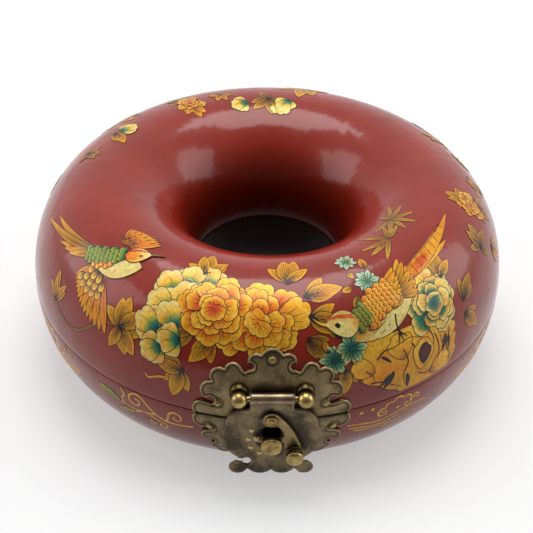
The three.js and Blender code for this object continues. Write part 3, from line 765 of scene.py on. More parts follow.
def to_face(spot, x, y, layer):
    """Point on the ring for a motif's own x and y in millimetres, y pointing away from its root."""
    face, azimuth, along, heading, hand = spot
    across = (hand * x * math.cos(heading) + y * math.sin(heading)) * mm
    along += face[2] * (y * math.cos(heading) - hand * x * math.sin(heading)) * mm
    entry = entry_at(face, along)
    return stand_out(entry, azimuth + across / entry[0], first_layer + layer * layer_step)


def tone_at(tones, share):
    for (low, first), (high, second) in zip(tones, tones[1:]):
        if share <= high:
            mix = (share - low) / (high - low)
            return [a + (b - a) * mix for a, b in zip(first, second)]
    return tones[-1][1]


def turned(x, y, turn, u, v):
    """Place of (u, v) in a frame that stands at (x, y) and is turned, in radians."""
    return x + u * math.cos(turn) + v * math.sin(turn), y - u * math.sin(turn) + v * math.cos(turn)


def brush(bm, spot, place, shape, columns, rows, tones, layer, grow=0):
    """One sheet of colour: a grid warped to a stroke's shape and laid on the ring."""
    paint = bm.verts.layers.float_color["paint"]
    x, y, heading = place[0], place[1], math.radians(place[2])
    sheet = bmesh.ops.create_grid(bm, x_segments=columns, y_segments=rows, size=0.5)["verts"]
    for vert in sheet:
        across, along = 2 * vert.co.x * spot[4], vert.co.y + 0.5
        u, v = shape(across, along, grow)
        vert[paint] = tone_at(tones, min(along + 0.22 * across * across, 1))
        vert.co = to_face(spot, *turned(x, y, heading, u, v), layer)


def stroke(bm, spot, place, shape, size, tones, layer):
    """A coloured stroke over its ink."""
    columns, rows = max(2, round(size[0] / cell_size)), max(3, round(size[1] / cell_size))
    brush(bm, spot, place, shape, columns, rows, plain_ink, layer, ink_margin)
    brush(bm, spot, place, shape, columns, rows, tones, layer + ink_lift)


def ribbon(bm, spot, points, wide, thin, layer, colour):
    """Brush line through points in the spot's own millimetres, from a wide start to a thin end."""
    points = [Vector(point) for point in points]
    spans = len(points) - 1
    length = sum((b - a).length for a, b in zip(points, points[1:]))
    ends = [2 * points[0] - points[1], *points, 2 * points[-1] - points[-2]]

    def at(share):
        i = min(int(share * spans), spans - 1)
        t = share * spans - i
        a, b, c, d = ends[i:i + 4]
        return (2 * b + (c - a) * t + (2 * a - 5 * b + 4 * c - d) * t ** 2
                + (3 * b - a - 3 * c + d) * t ** 3) / 2

    def shape(across, along, grow):
        tangent = (at(min(along + 0.02, 1)) - at(max(along - 0.02, 0))).normalized()
        half = (wide + (thin - wide) * along) / 2
        middle = at(along)
        return middle.x + across * half * tangent.y, middle.y - across * half * tangent.x

    rows = max(2, round(length / cell_size))
    brush(bm, spot, (0, 0, 0), shape, 1, rows, ((0, colour), (1, colour)), layer)


def inked_ribbon(bm, spot, points, wide, thin, layer, colour):
    ribbon(bm, spot, points, wide + 2 * ink_margin, thin + ink_margin, layer, ink)
    ribbon(bm, spot, points, wide, thin, layer + ink_lift, colour)


def blade(length, width, belly=1.0, bend=0.0):
    """Leaf or feather: widest in its middle, or nearer its tip with a larger belly."""
    def shape(across, along, grow):
        half = (width / 2 + grow) * math.sin(math.pi * along ** belly) ** 0.75
        return across * half + bend * along ** 2, along * (length + 2 * grow) - grow
    return shape


def scallop(length, spread, lobes=1.5, lean=0.0, notch=0.24):
    """Petal like a shell: a round sheet, narrow at its foot, with a lobed rim."""
    width = 2 * length * math.sin(math.radians(spread) / 2)

    def shape(across, along, grow):
        up = 2 * along - 1
        x, y = across * math.sqrt(1 - up * up / 2), up * math.sqrt(1 - across * across / 2)
        turn = math.atan2(x, y)
        tip = (0.5 + 0.5 * math.cos(turn)) ** 2 * (x * x + y * y)
        rim = 1 - notch * tip * (1 - abs(math.cos(lobes * (turn + lean)))) ** 1.6
        pinch = 0.45 + 0.55 * ((y + 1) / 2) ** 0.7
        return x * rim * (pinch * width / 2 + grow), (1 + y * rim) * length / 2 + grow * y
    return shape


def leaf(bm, spot, x, y, heading, length, width, layer, tones=leaf_tones, bend=0.0):
    stroke(bm, spot, (x, y, heading), blade(length, width, 0.85, bend), (width, length), tones, layer)
    turn = math.radians(heading)

    def vein(points, wide):
        ribbon(bm, spot, [turned(x, y, turn, u, v) for u, v in points], wide, 0.12, layer + 0.75, ink)

    vein([(bend * k * k, k * length) for k in (0.03, 0.3, 0.6, 0.92)], vein_width)
    if width > 4:
        for side in (-1, 1):
            for foot, wide in ((0.08, 0.27), (0.26, 0.16)):
                spread = side * width * wide
                vein([(bend * k ** 2 + spread * math.sin(math.pi * (k - foot) / (0.98 - foot)) ** 0.8,
                       k * length) for k in (foot, foot + 0.2, foot + 0.4, foot + 0.58)], 0.24)


def spray(bm, spot, size, headings, layer, tones=leaf_tones, width=0.46):
    """Leaves that open from one dark heart, the outer ones shorter."""
    order = sorted(range(len(headings)), key=lambda i: i % 2)
    for k, i in enumerate(order):
        share = 1 - 0.28 * abs(2 * i / max(len(headings) - 1, 1) - 1)
        length = size * share
        leaf(bm, spot, 0, 0, headings[i], length, length * width, layer + k % 2 + (i % 2), tones,
             0.12 * length * (1 if i % 2 else -1))
    middle = math.radians(headings[len(headings) // 2])
    for turn in (-0.9, 0.1, 1.0):
        heart = [turned(0, 0, middle + turn, 0, reach * size) for reach in (-0.06, 0.2)]
        ribbon(bm, spot, heart, size * 0.11, 0.2, layer + 3.1, ink)


def painted(name, body, draw):
    """Gives a drawn layer its thickness and puts it on its half of the box."""
    bm = bmesh.new()
    bm.verts.layers.float_color.new("paint")
    draw(bm)
    bmesh.ops.remove_doubles(bm, verts=bm.verts, dist=0.0005 * mm)
    sharp_rims(bm)
    thicken(add_piece(name, bm, body, "red_lacquer", painted_colour), paint_depth)


def paint_finish():
    """Thick colour and gold powder with fine grain, under the same clear coat as the red."""
    material, tree, shader = new_material("painted colours")
    place = add_node(tree, "TexCoord").outputs["Object"]
    colour = add_node(tree, "VertexColor", layer_name="paint")
    grain = add_node(tree, "TexNoise", Vector=place, Scale=700, Detail=6).outputs["Fac"]
    worn = add_node(tree, "MapRange", Value=grain, From_Min=0.3, From_Max=0.7, To_Min=0.72, To_Max=1.12)
    tinted = add_node(tree, "VectorMath", colour.outputs["Color"], Scale=worn.outputs["Result"],
                      operation="SCALE")
    patch = add_node(tree, "TexNoise", Vector=place, Scale=130, Detail=4)
    thin = add_node(tree, "MapRange", Value=patch.outputs["Fac"], From_Min=0.48, From_Max=0.72)
    reddened = add_node(tree, "Mix", data_type="RGBA", blend_type="MULTIPLY", Factor=thin.outputs["Result"],
                        A=tinted.outputs["Vector"], B=(0.92, 0.62, 0.45, 1))
    dull = add_node(tree, "MapRange", Value=grain, To_Min=0.38, To_Max=0.6)
    bump = add_node(tree, "Bump", Strength=0.3, Distance=0.05 * mm, Height=grain)
    feed(tree, shader, Base_Color=reddened.outputs["Result"], Roughness=dull.outputs["Result"],
         Normal=bump.outputs["Normal"], Metallic=colour.outputs["Alpha"], Specular_IOR_Level=0.15,
         Coat_Weight=0.35, Coat_Roughness=0.12)
    return material


painted_colour = paint_finish()

# Gold peony: two heavy gold flowers with red hearts, the smaller one behind, among their leaves.
# Each is built in rings of ruffled petals, and each ring is turned against the last.
peony_tones = ((0, red_heart), (0.42, (0.74, 0.10, 0.008, 0.2)), (0.6, orange), (0.76, gold), (1, pale_gold))
plain_peony_tones = ((0, orange), (0.45, gold), (1, pale_gold))


def peony(bm, spot, radius, tones, plain, layer, seed, squeeze=1.0):
    """Rings of ruffled petals, the outer ones lowest, each ring turned against the last."""
    draw = random.Random(seed)
    rings = ((8, 0.40, 0.64, 74), (7, 0.24, 0.58, 72), (5, 0.08, 0.52, 76), (4, -0.10, 0.42, 84))
    for ring, (count, foot, reach, opening) in enumerate(rings):
        for i in range(count):
            heading = 360 * (i + 0.5 * (ring % 2)) / count + draw.uniform(-18, 18)
            turn = math.radians(heading)
            length = radius * reach * draw.uniform(0.82, 1.2)
            place = (radius * foot * math.sin(turn), radius * foot * math.cos(turn) * squeeze, heading)
            chosen = tones if draw.random() < 0.6 else plain
            height = layer + 1.6 * ring + 1.2 * (i * 3 % count) / count
            petal = scallop(length, opening * draw.uniform(0.85, 1.15), draw.choice((2, 2.5, 3)),
                            draw.uniform(-0.35, 0.35), draw.uniform(0.2, 0.32))
            stroke(bm, spot, place, petal, (length * math.radians(opening), length), chosen, height)
            bow = draw.uniform(-0.12, 0.12) * length
            for fan, start, end in ((0, 0.1, 0.8), (-0.36, 0.3, 0.66), (0.34, 0.34, 0.7)):
                points = [turned(*place[:2], turn, fan * k * length + bow * k, k * length)
                          for k in (start, (start + end) / 2, end)]
                ribbon(bm, spot, points, 0.36, 0.12, height + 0.6, ink)


def draw_gold_peony(bm):
    for azimuth, along, size, headings, tones in (
            (-19, 67, 14, (-62, -30, 2, 34, 62), leaf_tones),
            (6, 66, 17, (-34, -8, 24, 46), leaf_tones),
            (10.6, 58, 17, (52, 78, 104), leaf_tones),
            (11.0, 48, 17, (76, 108, 140), leaf_tones),
            (9.8, 38.5, 13, (104, 136, 168), dark_leaf_tones),
            (-17.2, 41, 15, (-150, -128), dark_leaf_tones),
            (-12.4, 37, 15, (-176, -148, -118), leaf_tones)):
        spray(bm, spot_on(lid_face, azimuth, along), size, headings, 0, tones)
    peony(bm, spot_on(lid_face, -1.6, 45.5), 20, peony_tones, plain_peony_tones, 0.8, 11, 0.9)
    peony(bm, spot_on(lid_face, -13.2, 50.5), 15.5, peony_tones, plain_peony_tones, 4.2, 23, 0.9)


painted("painted_gold_peony", "lid", draw_gold_peony)

# Cream blossoms: trumpet flowers left of the peony, cream at the rim and blue-green in the throat,
# each nearer one painted over the last.
bloom_tones = ((0, deep_teal), (0.24, teal), (0.42, olive), (0.58, pale_gold), (1, cream))


def bloom(bm, spot, heading, length, layer, spread=70):
    """A trumpet blossom: two petals at the sides and one in front, all from one throat."""
    for k, (turn, share) in enumerate(((-44, 0.84), (42, 0.86), (-2, 1.0))):
        size = length * share
        stroke(bm, spot, (0, 0, heading + turn), scallop(size, spread, 2 + 0.5 * k, 0.2 * (k - 1)),
               (size * math.radians(spread), size), bloom_tones, layer + 0.6 * k)
        aim = math.radians(heading + turn)
        vein = [turned(0, 0, aim + p, 0, q * size) for q, p in ((0.3, 0), (0.55, 0.08), (0.8, -0.04))]
        ribbon(bm, spot, vein, 0.26, 0.12, layer + 0.6 * k + 0.5, ink)


def draw_cream_blossoms(bm):
    for k, (azimuth, along, heading, length) in enumerate((
            (-16.6, 60, -12, 12), (-22.0, 58, 4, 12), (-24.6, 53, -40, 13), (-20.4, 49.5, -20, 12),
            (-24.4, 44.5, -58, 13), (-21.8, 38.5, -38, 13), (-26.0, 35.5, -66, 12.5), (-20.2, 34, -108, 11),
            (-24.2, 29, -122, 11))):
        bloom(bm, spot_on(lid_face, azimuth, along), heading, length, 0.6 + 0.5 * k)


painted("painted_cream_blossoms", "lid", draw_cream_blossoms)


# Left sprays: two gold leaf clusters on a thin branch, and one more beside the lock whose stem ends
# in a bud.
def draw_left_sprays(bm):
    branch = [(-58.4, 19.5), (-55.5, 15.5), (-51, 13.6), (-47, 16.4), (-43.5, 23), (-40, 28.6),
              (-35.6, 30)]
    radius = ring_radius / mm * 0.985
    points = [(math.radians(azimuth - branch[0][0]) * radius, along - branch[0][1])
              for azimuth, along in branch]
    inked_ribbon(bm, spot_on(lid_face, *branch[0]), points, 0.9, 1.3, 0, brown_gold)
    spray(bm, spot_on(lid_face, -58.6, 19), 15, (-46, -24, -6, 22, 48), 1, leaf_tones, 0.3)
    spray(bm, spot_on(lid_face, -35.4, 30), 16.5, (-52, -22, 8, 44, 84, 128, 160, -168), 1, leaf_tones, 0.5)
    spray(bm, spot_on(lid_face, -18.4, 20.5), 15, (-124, -92, -158, -62, 168), 0, leaf_tones, 0.5)
    stem = [(-1, -1), (-6, -5.4), (-11, -6.4), (-16, -8.6), (-18, -7)]
    inked_ribbon(bm, spot_on(lid_face, -18.4, 20.5), stem, 1.5, 0.8, 0, gold)


painted("painted_left_sprays", "lid", draw_left_sprays)

# Daisies: blue-green and pale green flowers with gold buds between them, right of the peony, each
# of thin petals round one point.
daisy_tones = ((0, deep_teal), (0.5, teal), (0.8, mint), (1, cream))
pale_daisy_tones = ((0, teal), (0.35, mint), (1, (0.66, 0.78, 0.56, 0)))


def daisy(bm, spot, radius, tones, layer, count=12):
    for i in range(count):
        heading = 360 * i / count + 8 * math.sin(3.1 * i)
        length = radius * (1 if i % 2 else 0.86)
        width = radius * 0.42
        stroke(bm, spot, (0, 0, heading), blade(length, width, 1.5), (width, length), tones, layer + i % 2)
        turn = math.radians(heading)
        vein = [turned(0, 0, turn, 0, reach) for reach in (0.15 * radius, 0.7 * length)]
        ribbon(bm, spot, vein, 0.28, 0.12, layer + 1.7, ink)


def draw_daisies(bm):
    daisy(bm, spot_on(lid_face, 26.4, 72.8), 5.4, pale_daisy_tones, 0, 9)
    for azimuth, along, heading, length in (
            (23.8, 58, -100, 5.5), (24.6, 53.6, -150, 7), (30.6, 65.6, 10, 6.5), (16.6, 37, -14, 10),
            (24.6, 66.5, 160, 4.5)):
        leaf(bm, spot_on(lid_face, azimuth, along), 0, 0, heading, length, length * 0.62, 0)
    daisy(bm, spot_on(lid_face, 28.8, 58.8), 6.6, pale_daisy_tones, 1)
    spray(bm, spot_on(lid_face, 17.6, 22), 12, (150, 178, -160), 0, leaf_tones, 0.5)
    spray(bm, spot_on(lid_face, 14.0, 31.5), 8, (-60, -20), 0, leaf_tones, 0.5)
    daisy(bm, spot_on(lid_face, 15.4, 27.8), 7.6, daisy_tones, 1)
    daisy(bm, spot_on(lid_face, 19.6, 31.4), 7.6, daisy_tones, 2.4)


painted("painted_daisies", "lid", draw_daisies)

# Flying bird: a small gold and green bird with its tail to the left and one wing spread below it.
# Long feathers go on first, then rows of short ones, the body and the head.
feather_tones = ((0, brown_gold), (0.3, orange), (0.8, (0.74, 0.26, 0.014, 0.3)), (1, gold))
scale_tones = ((0, brown_gold), (0.5, orange), (1, pale_gold))
green_scale_tones = ((0, deep_teal), (0.6, leaf_green), (1, olive))
belly_tones = ((0, gold), (0.4, cream), (1, cream))


def feather_fan(bm, spot, x, y, first, last, count, short, long, width, layer, tones=feather_tones):
    """Feathers that open from a shoulder, from the first heading to the last."""
    for i in range(count):
        share = i / (count - 1)
        length = short + (long - short) * share ** 1.4
        heading = first + (last - first) * share
        root = 0.28 * length
        turn = math.radians(heading)
        foot = (*turned(x, y, turn, 0, root), heading)
        stroke(bm, spot, foot, blade(length - root, width, 1.3, 0.04 * length), (width, length), tones,
               layer + i % 2)
        tip = (length - root) * 0.8
        shaft = [turned(*foot[:2], turn, 0, k * tip) for k in (0.1, 0.5, 1)]
        ribbon(bm, spot, shaft, 0.26, 0.1, layer + 1.75, ink)


def scale_patch(bm, spot, rows, heading, size, layer, tones):
    """Overlapping small feathers, each row over the last; rows are (x, y, count, step_x, step_y)."""
    for k, (x, y, count, step_x, step_y) in enumerate(rows):
        for i in range(count):
            shift = i + 0.5 * (k % 2)
            stroke(bm, spot, (x + shift * step_x, y + shift * step_y, heading), scallop(size, 46, 0.5),
                   (size, size), tones, layer + 0.55 * k)


def coverts(bm, spot, x, y, first, last, reaches, size, layer, tones):
    """Short feathers in arcs over the root of a wing, the outer arc lowest."""
    for k, reach in enumerate(reaches):
        count = max(2, round(abs(math.radians(last - first)) * reach / (size * 0.62)))
        for i in range(count):
            heading = first + (last - first) * (i + 0.5 * (k % 2)) / count
            foot = (*turned(x, y, math.radians(heading), 0, reach), heading)
            stroke(bm, spot, foot, scallop(size, 46, 0.5), (size, size), tones, layer + 0.55 * k)


def draw_flying_bird(bm):
    bird = spot_on(lid_face, -48, 56, 50)
    for k, (heading, length) in enumerate(((194, 30), (188, 24), (181, 19), (208, 44), (203, 54))):
        stroke(bm, bird, (-3, -9, heading), blade(length, 3.6, 0.6, 2), (3.6, length),
               ((0, green_scale_tones[0][1]), (0.25, brown_gold), (1, gold)), k % 3)
        shaft = [turned(-3, -9, math.radians(heading), 0, reach) for reach in (4, length * 0.9)]
        ribbon(bm, bird, shaft, 0.3, 0.12, k % 3 + 0.8, ink)
    feather_fan(bm, bird, 2.5, -1, 168, 98, 14, 20, 35, 3.6, 1)
    coverts(bm, bird, 2.5, -1, 164, 98, (14, 10.5, 7), 5, 3, ((0, ink), (0.4, brown_gold), (1, pale_gold)))
    feather_fan(bm, bird, -2, 3, -82, -14, 12, 15, 19, 2.8, 1)
    coverts(bm, bird, -2, 3, -80, -18, (7,), 4, 3, ((0, ink), (0.4, brown_gold), (1, orange)))
    stroke(bm, bird, (2.4, -9, 16), blade(25, 13, 1.1), (13, 25), belly_tones, 5)
    rows = [(-5.6 + 0.42 * k, -11 + 2.3 * k, 3, 2.4, -0.3) for k in range(9)]
    scale_patch(bm, bird, rows, 184, 4.2, 5.6, green_scale_tones)
    rows = [(0.8 + 0.42 * k, -8 + 2.3 * k, 2, 2.2, 0.5) for k in range(5)]
    scale_patch(bm, bird, rows, 180, 3.6, 6, scale_tones)
    stroke(bm, bird, (0.6, 6.5, 8), blade(12, 8.6, 0.8), (8.6, 12), ((0, orange), (0.4, gold), (1, cream)),
           10.2)
    ribbon(bm, bird, [(-1.4, 8), (-1.4, 13), (0.4, 17)], 1.5, 0.5, 11.2, (0.60, 0.05, 0.03, 0))
    ribbon(bm, bird, [(2.2, 13.2), (2.2, 14.6)], 1.3, 0.9, 11.2, ink)
    inked_ribbon(bm, bird, [(1.8, 17.4), (2.2, 20), (3.4, 24)], 1.5, 0.3, 10, brown_gold)


painted("painted_flying_bird", "lid", draw_flying_bird)


# Rock: a pierced garden rock in gold at the right of the lock, with round lobes, one dark hollow and
# cracks drawn in ink.
def draw_rock(bm):
    foot = spot_on(lid_face, 33, 2)
    edges = ((0, -5, 24), (3, -9, 29), (7, -16, 30), (12, -24, 31), (17, -28, 30), (22, -27, 28),
             (27, -24, 22), (31, -19, 8))

    def outline(across, along, grow):
        height = along * 31
        i = min(int(sum(height > row[0] for row in edges[1:])), len(edges) - 2)
        (low, left, right), (high, next_left, next_right) = edges[i:i + 2]
        mix = (height - low) / (high - low)
        left += (next_left - left) * mix + 1.1 * math.sin(height * 1.05) - grow
        right += (next_right - right) * mix + 0.9 * math.sin(height * 0.8 + 2) + grow
        return (left + right) / 2 + across * (right - left) / 2, height + grow * (2 * along - 1)

    brush(bm, foot, (0, 0, 0), outline, 28, 16, plain_ink, 0, ink_margin)
    stone = ((0, gold), (0.25, (0.56, 0.28, 0.012, 0.5)), (0.55, gold), (1, pale_gold))
    brush(bm, foot, (0, 0, 0), outline, 28, 16, stone, ink_lift)
    for k, (x, y, heading, length, opening) in enumerate((
            (22, 15, 34, 12, 70), (-18, 15, -58, 12, 60), (-2, 17, -8, 13, 80), (13, 3, 70, 14, 50))):
        stroke(bm, foot, (x, y, heading), scallop(length, opening, 2.5, 0.2, 0.3), (length, length),
               ((0, brown_gold), (0.3, gold), (1, pale_gold)), 0.8 + 0.3 * k)
    stroke(bm, foot, (7, 8, 14), scallop(15, 60, 2), (13, 14), ((0, gold), (1, pale_gold)), 3)
    hollow = (0.11, 0.010, 0.007, 0)
    brush(bm, foot, (8.4, 10, 14), scallop(10.6, 56, 2, 0.2), 6, 6, plain_ink, 3.8)
    brush(bm, foot, (8.9, 11.4, 14), scallop(7.6, 52, 2, 0.2), 6, 6, ((0, ink), (0.4, hollow), (1, hollow)),
          4.1)
    for x, y, heading, length, width in (
            (-8, 13, 205, 10, 3.0), (-10.5, 12, 214, 8, 1.6), (-1, 9, 168, 8, 2.4),
            (24, 19, 190, 9, 2.6), (26, 17, 176, 7, 1.4), (-14, 22, 120, 7, 1.5)):
        brush(bm, foot, (x, y, heading), blade(length, width, 0.8, 0.2 * length), 3, 6, plain_ink, 3.4)
    for points in (
            ((-16, 21), (-12, 24), (-6, 24.5), (2, 26), (8, 24)), ((-20, 10), (-14, 9), (-8, 5), (-4, 3)),
            ((-2, 22), (0, 15), (-3, 9), (-2, 3)), ((3, 23), (5, 19), (4.5, 15)),
            ((17, 22), (19, 14), (17, 6)), ((14, 25), (16, 20), (15, 14)), ((6, 6), (10, 4), (15, 5)),
            ((27, 20), (24, 12), (26, 6), (23, 3)), ((-22, 17), (-19, 14), (-18, 10))):
        ribbon(bm, foot, points, 0.7, 0.12, 3.3, ink)


painted("painted_rock", "lid", draw_rock)

# Perched bird: a long-tailed bird on the rock, its head to the left and raised, with a red patch and
# ink bars on its tail.
tail_tones = ((0, pale_gold), (0.2, gold), (0.3, orange), (0.42, red_heart), (0.5, gold), (1, gold))


def draw_perched_bird(bm):
    bird = spot_on(lid_face, 29.5, 46, -117, -1)
    for k, (heading, length, width) in enumerate(((170, 40, 5), (160, 42, 5), (165, 56, 6.4))):
        stroke(bm, bird, (-1, -12, heading), blade(length, width, 0.62, -2), (width, length), tail_tones,
               1 + 0.7 * k)
    turn = math.radians(165)
    for k in range(9):
        reach = 10 + 4.4 * k
        half = 2.9 * math.sin(math.pi * (reach / 56) ** 0.62) ** 0.75
        bar = [turned(-1, -12, turn, side * half, reach) for side in (-1, 1)]
        ribbon(bm, bird, bar, 0.4, 0.3, 3.4, ink)
    feather_fan(bm, bird, 1, -5, 138, 200, 9, 16, 21, 3.4, 3, ((0, ink), (0.3, brown_gold), (1, gold)))
    stroke(bm, bird, (2, 21, 178), blade(38, 17, 1.0, -3), (17, 38), belly_tones, 3.4)
    feather_fan(bm, bird, -3, 8, 150, 186, 9, 20, 27, 3.4, 4.4, ((0, brown_gold), (1, gold)))
    rows = [(-8.6 + 0.5 * abs(k - 4), -7 + 2.2 * k, 5, 2.5, 0.4) for k in range(9)]
    scale_patch(bm, bird, rows, 182, 4.4, 6, scale_tones)
    rows = [(-7.4 + 0.3 * k, 9.6 + 2.1 * k, 4, 2.2, 0.2) for k in range(4)]
    scale_patch(bm, bird, rows, 184, 3.8, 10.6, green_scale_tones)
    stroke(bm, bird, (-2.6, 13.6, -32), blade(15, 12, 0.8), (12, 15), belly_tones, 13)
    ribbon(bm, bird, [(-6.2, 13.6), (-10.4, 19.6), (-12, 24.6)], 2.1, 0.8, 14, (0.70, 0.18, 0.03, 0))
    brush(bm, bird, (-6.8, 21, -30), blade(2.8, 2.5, 1), 2, 3, plain_ink, 14.2)
    inked_ribbon(bm, bird, [(-10.2, 25.6), (-12.6, 27.8), (-15.6, 28.8)], 1.7, 0.3, 12.8, pale_gold)
    for k in range(12):
        x, y = 3 + 2.6 * (k % 3), 13 - 2.6 * (k // 3) - (k % 2)
        ribbon(bm, bird, [(x, y), (x + 0.3, y - 1.7)], 0.4, 0.15, 4.2, ink)
    for toe in (-34, 0, 34):
        claw = turned(14.5, 2, math.radians(80 + toe), 0, 5)
        ribbon(bm, bird, [(14.5, 2), claw], 0.9, 0.2, 5, ink)
    ribbon(bm, bird, [(7, -2), (11, 1), (14.5, 2)], 0.8, 0.7, 5, ink)


painted("painted_perched_bird", "lid", draw_perched_bird)


# Bamboo: thin dull gold leaves in two fans above the perched bird, at the edge of the bore, each with
# one vein.
def draw_bamboo(bm):
    for azimuth, along, tips in (
            (59, 84.4, ((64, 15), (92, 14), (130, 13), (165, 13), (201, 12), (240, 14), (270, 14), (15, 8))),
            (47, 75.6, ((-41, 14), (-88, 17), (-106, 17), (-130, 16), (40, 12), (76, 12)))):
        spot = spot_on(lid_face, azimuth, along)
        for k, (heading, length) in enumerate(tips):
            stroke(bm, spot, (0, 0, heading), blade(length, 2.5, 0.75), (2.5, length),
                   ((0, brown_gold), (1, (0.50, 0.26, 0.02, 0.5))), k % 2)
            tip = turned(0, 0, math.radians(heading), 0, 0.8 * length)
            ribbon(bm, spot, [(0, 0), tip], 0.25, 0.1, k % 2 + 0.8, ink)


painted("painted_bamboo", "lid", draw_bamboo)

# Green peony: a cream and blue-green flower at the perched bird's tail, made like the gold one, with
# leaves above and below it.
teal_peony_tones = ((0, deep_teal), (0.5, teal), (0.7, (0.09, 0.29, 0.12, 0)), (0.84, pale_gold), (1, cream))


def draw_green_peony(bm):
    for azimuth, along, size, headings, tones in (
            (49.6, 45, 15, (-20, 6, 34, 62), leaf_tones), (53.4, 29, 14, (18, 50, 84), dark_leaf_tones),
            (53, 22, 14, (108, 136, 166), leaf_tones)):
        spray(bm, spot_on(lid_face, azimuth, along), size, headings, 0, tones)
    peony(bm, spot_on(lid_face, 43.8, 37), 15.5, teal_peony_tones, bloom_tones, 1.6, 5)


painted("painted_green_peony", "lid", draw_green_peony)


# Side sprays: smaller flowers, leaves and daisies round the sides and the back, so that the ring is
# painted all the way round.
def draw_side_sprays(bm):
    for azimuth, along, radius, seed in (
            (82, 50, 8.5, 3), (-148, 70, 8, 4), (168, 46, 15, 8), (-128, 36, 14, 9)):
        spray(bm, spot_on(lid_face, azimuth + 2, along - radius * 0.6), radius * 1.3,
              (100, 140, 180, -140, -100), 0, dark_leaf_tones)
        spray(bm, spot_on(lid_face, azimuth, along + radius * 0.5), radius * 1.25, (-70, -30, 10, 50, 80), 0)
        tones = teal_peony_tones if radius > 13 and azimuth < 0 else peony_tones
        peony(bm, spot_on(lid_face, azimuth, along), radius, tones, plain_peony_tones, 1.2, seed)
    for azimuth, along, size, headings, tones in (
            (70, 38, 13, (-50, -10, 30, 70, 150), dark_leaf_tones), (76, 30, 12, (100, 140, 190), leaf_tones),
            (94, 38, 13, (-40, 0, 40, 90), leaf_tones), (-104, 55, 10, (-30, 10, 50, 100), dark_leaf_tones),
            (-116, 62, 13, (-10, 30, 66), leaf_tones), (-161, 67, 9, (-60, -20, 30, 80), leaf_tones),
            (180, 76, 13, (-80, -40, 0, 40, 80, 130), dark_leaf_tones),
            (118, 44, 14, (-60, -20, 20, 60, 110), leaf_tones)):
        spray(bm, spot_on(lid_face, azimuth, along), size, headings, 1, tones)
    for azimuth, along, heading, length in (
            (-170, 79, 80, 9), (176, 80, -30, 9), (172, 77, 30, 9), (-118, 64, -60, 9),
            (110, 40, -70, 10), (126, 42, 60, 10)):
        bloom(bm, spot_on(lid_face, azimuth, along), heading, length, 2.4)
    daisy(bm, spot_on(lid_face, 145, 30), 7, daisy_tones, 1)
    daisy(bm, spot_on(lid_face, -100, 30), 7, daisy_tones, 1)


painted("painted_side_sprays", "lid", draw_side_sprays)


# Base painting: fine pale gold lines below the seam, by turns a leafy vine and a cloud over water,
# drawn with a thin brush straight on the red.
def spiral(x, y, radius, start, sweep, steps=10):
    """Points that wind inwards round (x, y), from an angle through a sweep, both in degrees."""
    points = []
    for i in range(steps + 1):
        turn, reach = math.radians(start + sweep * i / steps), radius * (1 - 0.78 * i / steps)
        points.append((x + reach * math.cos(turn), y + reach * math.sin(turn)))
    return points


def arc(x, y, radius, start, end, steps=5):
    turns = [math.radians(start + (end - start) * i / steps) for i in range(steps + 1)]
    return [(x + radius * math.cos(turn), y + radius * math.sin(turn)) for turn in turns]


def draw_vine(bm, spot):
    main_stem = [(24, -2), (17, -3.4), (10.5, -3.2), (5.5, -0.6), (2, 3)] + spiral(-5, 3.6, 5, 45, 430)
    for points, wide in ((main_stem, 1.1), ([(11, -3)] + spiral(16, 1.4, 4.2, 190, -400), 1.0),
                         ([(5, -1), (-2, -2.2), (-8, -3), (-14.5, -1.4)], 0.9),
                         ([(-2, -2.2), (-6.4, -5)], 0.8), ([(0, -2)] + spiral(8, -8, 3.4, 120, -380), 0.8),
                         ([(-12, -2), (-13, 2), (-11, 4.6)], 0.7)):
        ribbon(bm, spot, points, wide, 0.6, 0, pale_gold)
    green = ((0, deep_teal), (0.6, leaf_green), (1, olive))
    for x, y, heading, length, width in (
            (-14.5, -1.4, -74, 14, 5.6), (-6.4, -5, -108, 11, 4.2), (-11, 4.4, -30, 5, 2.4)):
        stroke(bm, spot, (x, y, heading), blade(length, width, 0.85), (width, length), green, 0.5)
        turn = math.radians(heading)
        for side in (-0.3, 0, 0.3):
            vein = [turned(x, y, turn, side * width * math.sin(math.pi * k), k * length)
                    for k in (0.05, 0.35, 0.65, 0.95)]
            ribbon(bm, spot, vein, 0.36, 0.2, 1.6, pale_gold)
    for i in range(5):
        stroke(bm, spot, (2.4, -8.4, 72 * i), blade(3, 1.7, 1.4), (1.7, 3),
               ((0, brown_gold), (1, pale_gold)), 0.6)


def draw_cloud(bm, spot):
    crown = (arc(-7.4, -0.4, 2.6, 250, 70) + arc(-3.8, 2.2, 2.6, 200, 60) + arc(0.9, 3.4, 2.9, 170, 40)
             + arc(5.6, 2.6, 2.6, 140, -20) + spiral(6.2, -0.6, 2.8, 60, -380))
    ribbon(bm, spot, crown, 1.0, 0.6, 0, pale_gold)
    ribbon(bm, spot, spiral(-7, -0.8, 2.4, 240, 330), 0.9, 0.5, 0, pale_gold)
    ribbon(bm, spot, spiral(11.4, 1.8, 2.4, 200, -360), 0.9, 0.5, 0, pale_gold)
    for level, start, end, lift in (
            (-4.6, -25, 20, 1.3), (-7.4, -24, 8, 1.5), (-9.6, -21, 0, 1.2), (-11.6, -6, 22, 1.2)):
        wave = [(x, level + lift * math.sin(0.18 * x)) for x in range(start, end + 1, 2)]
        ribbon(bm, spot, wave, 0.9, 0.5, 0, pale_gold)
    for x, y in ((-20, 3), (-14.4, 3.4), (-0.6, -1)):
        stroke(bm, spot, (x, y, 60), blade(2.6, 1.8), (1.8, 2.6), ((0, pale_gold), (1, pale_gold)), 0)


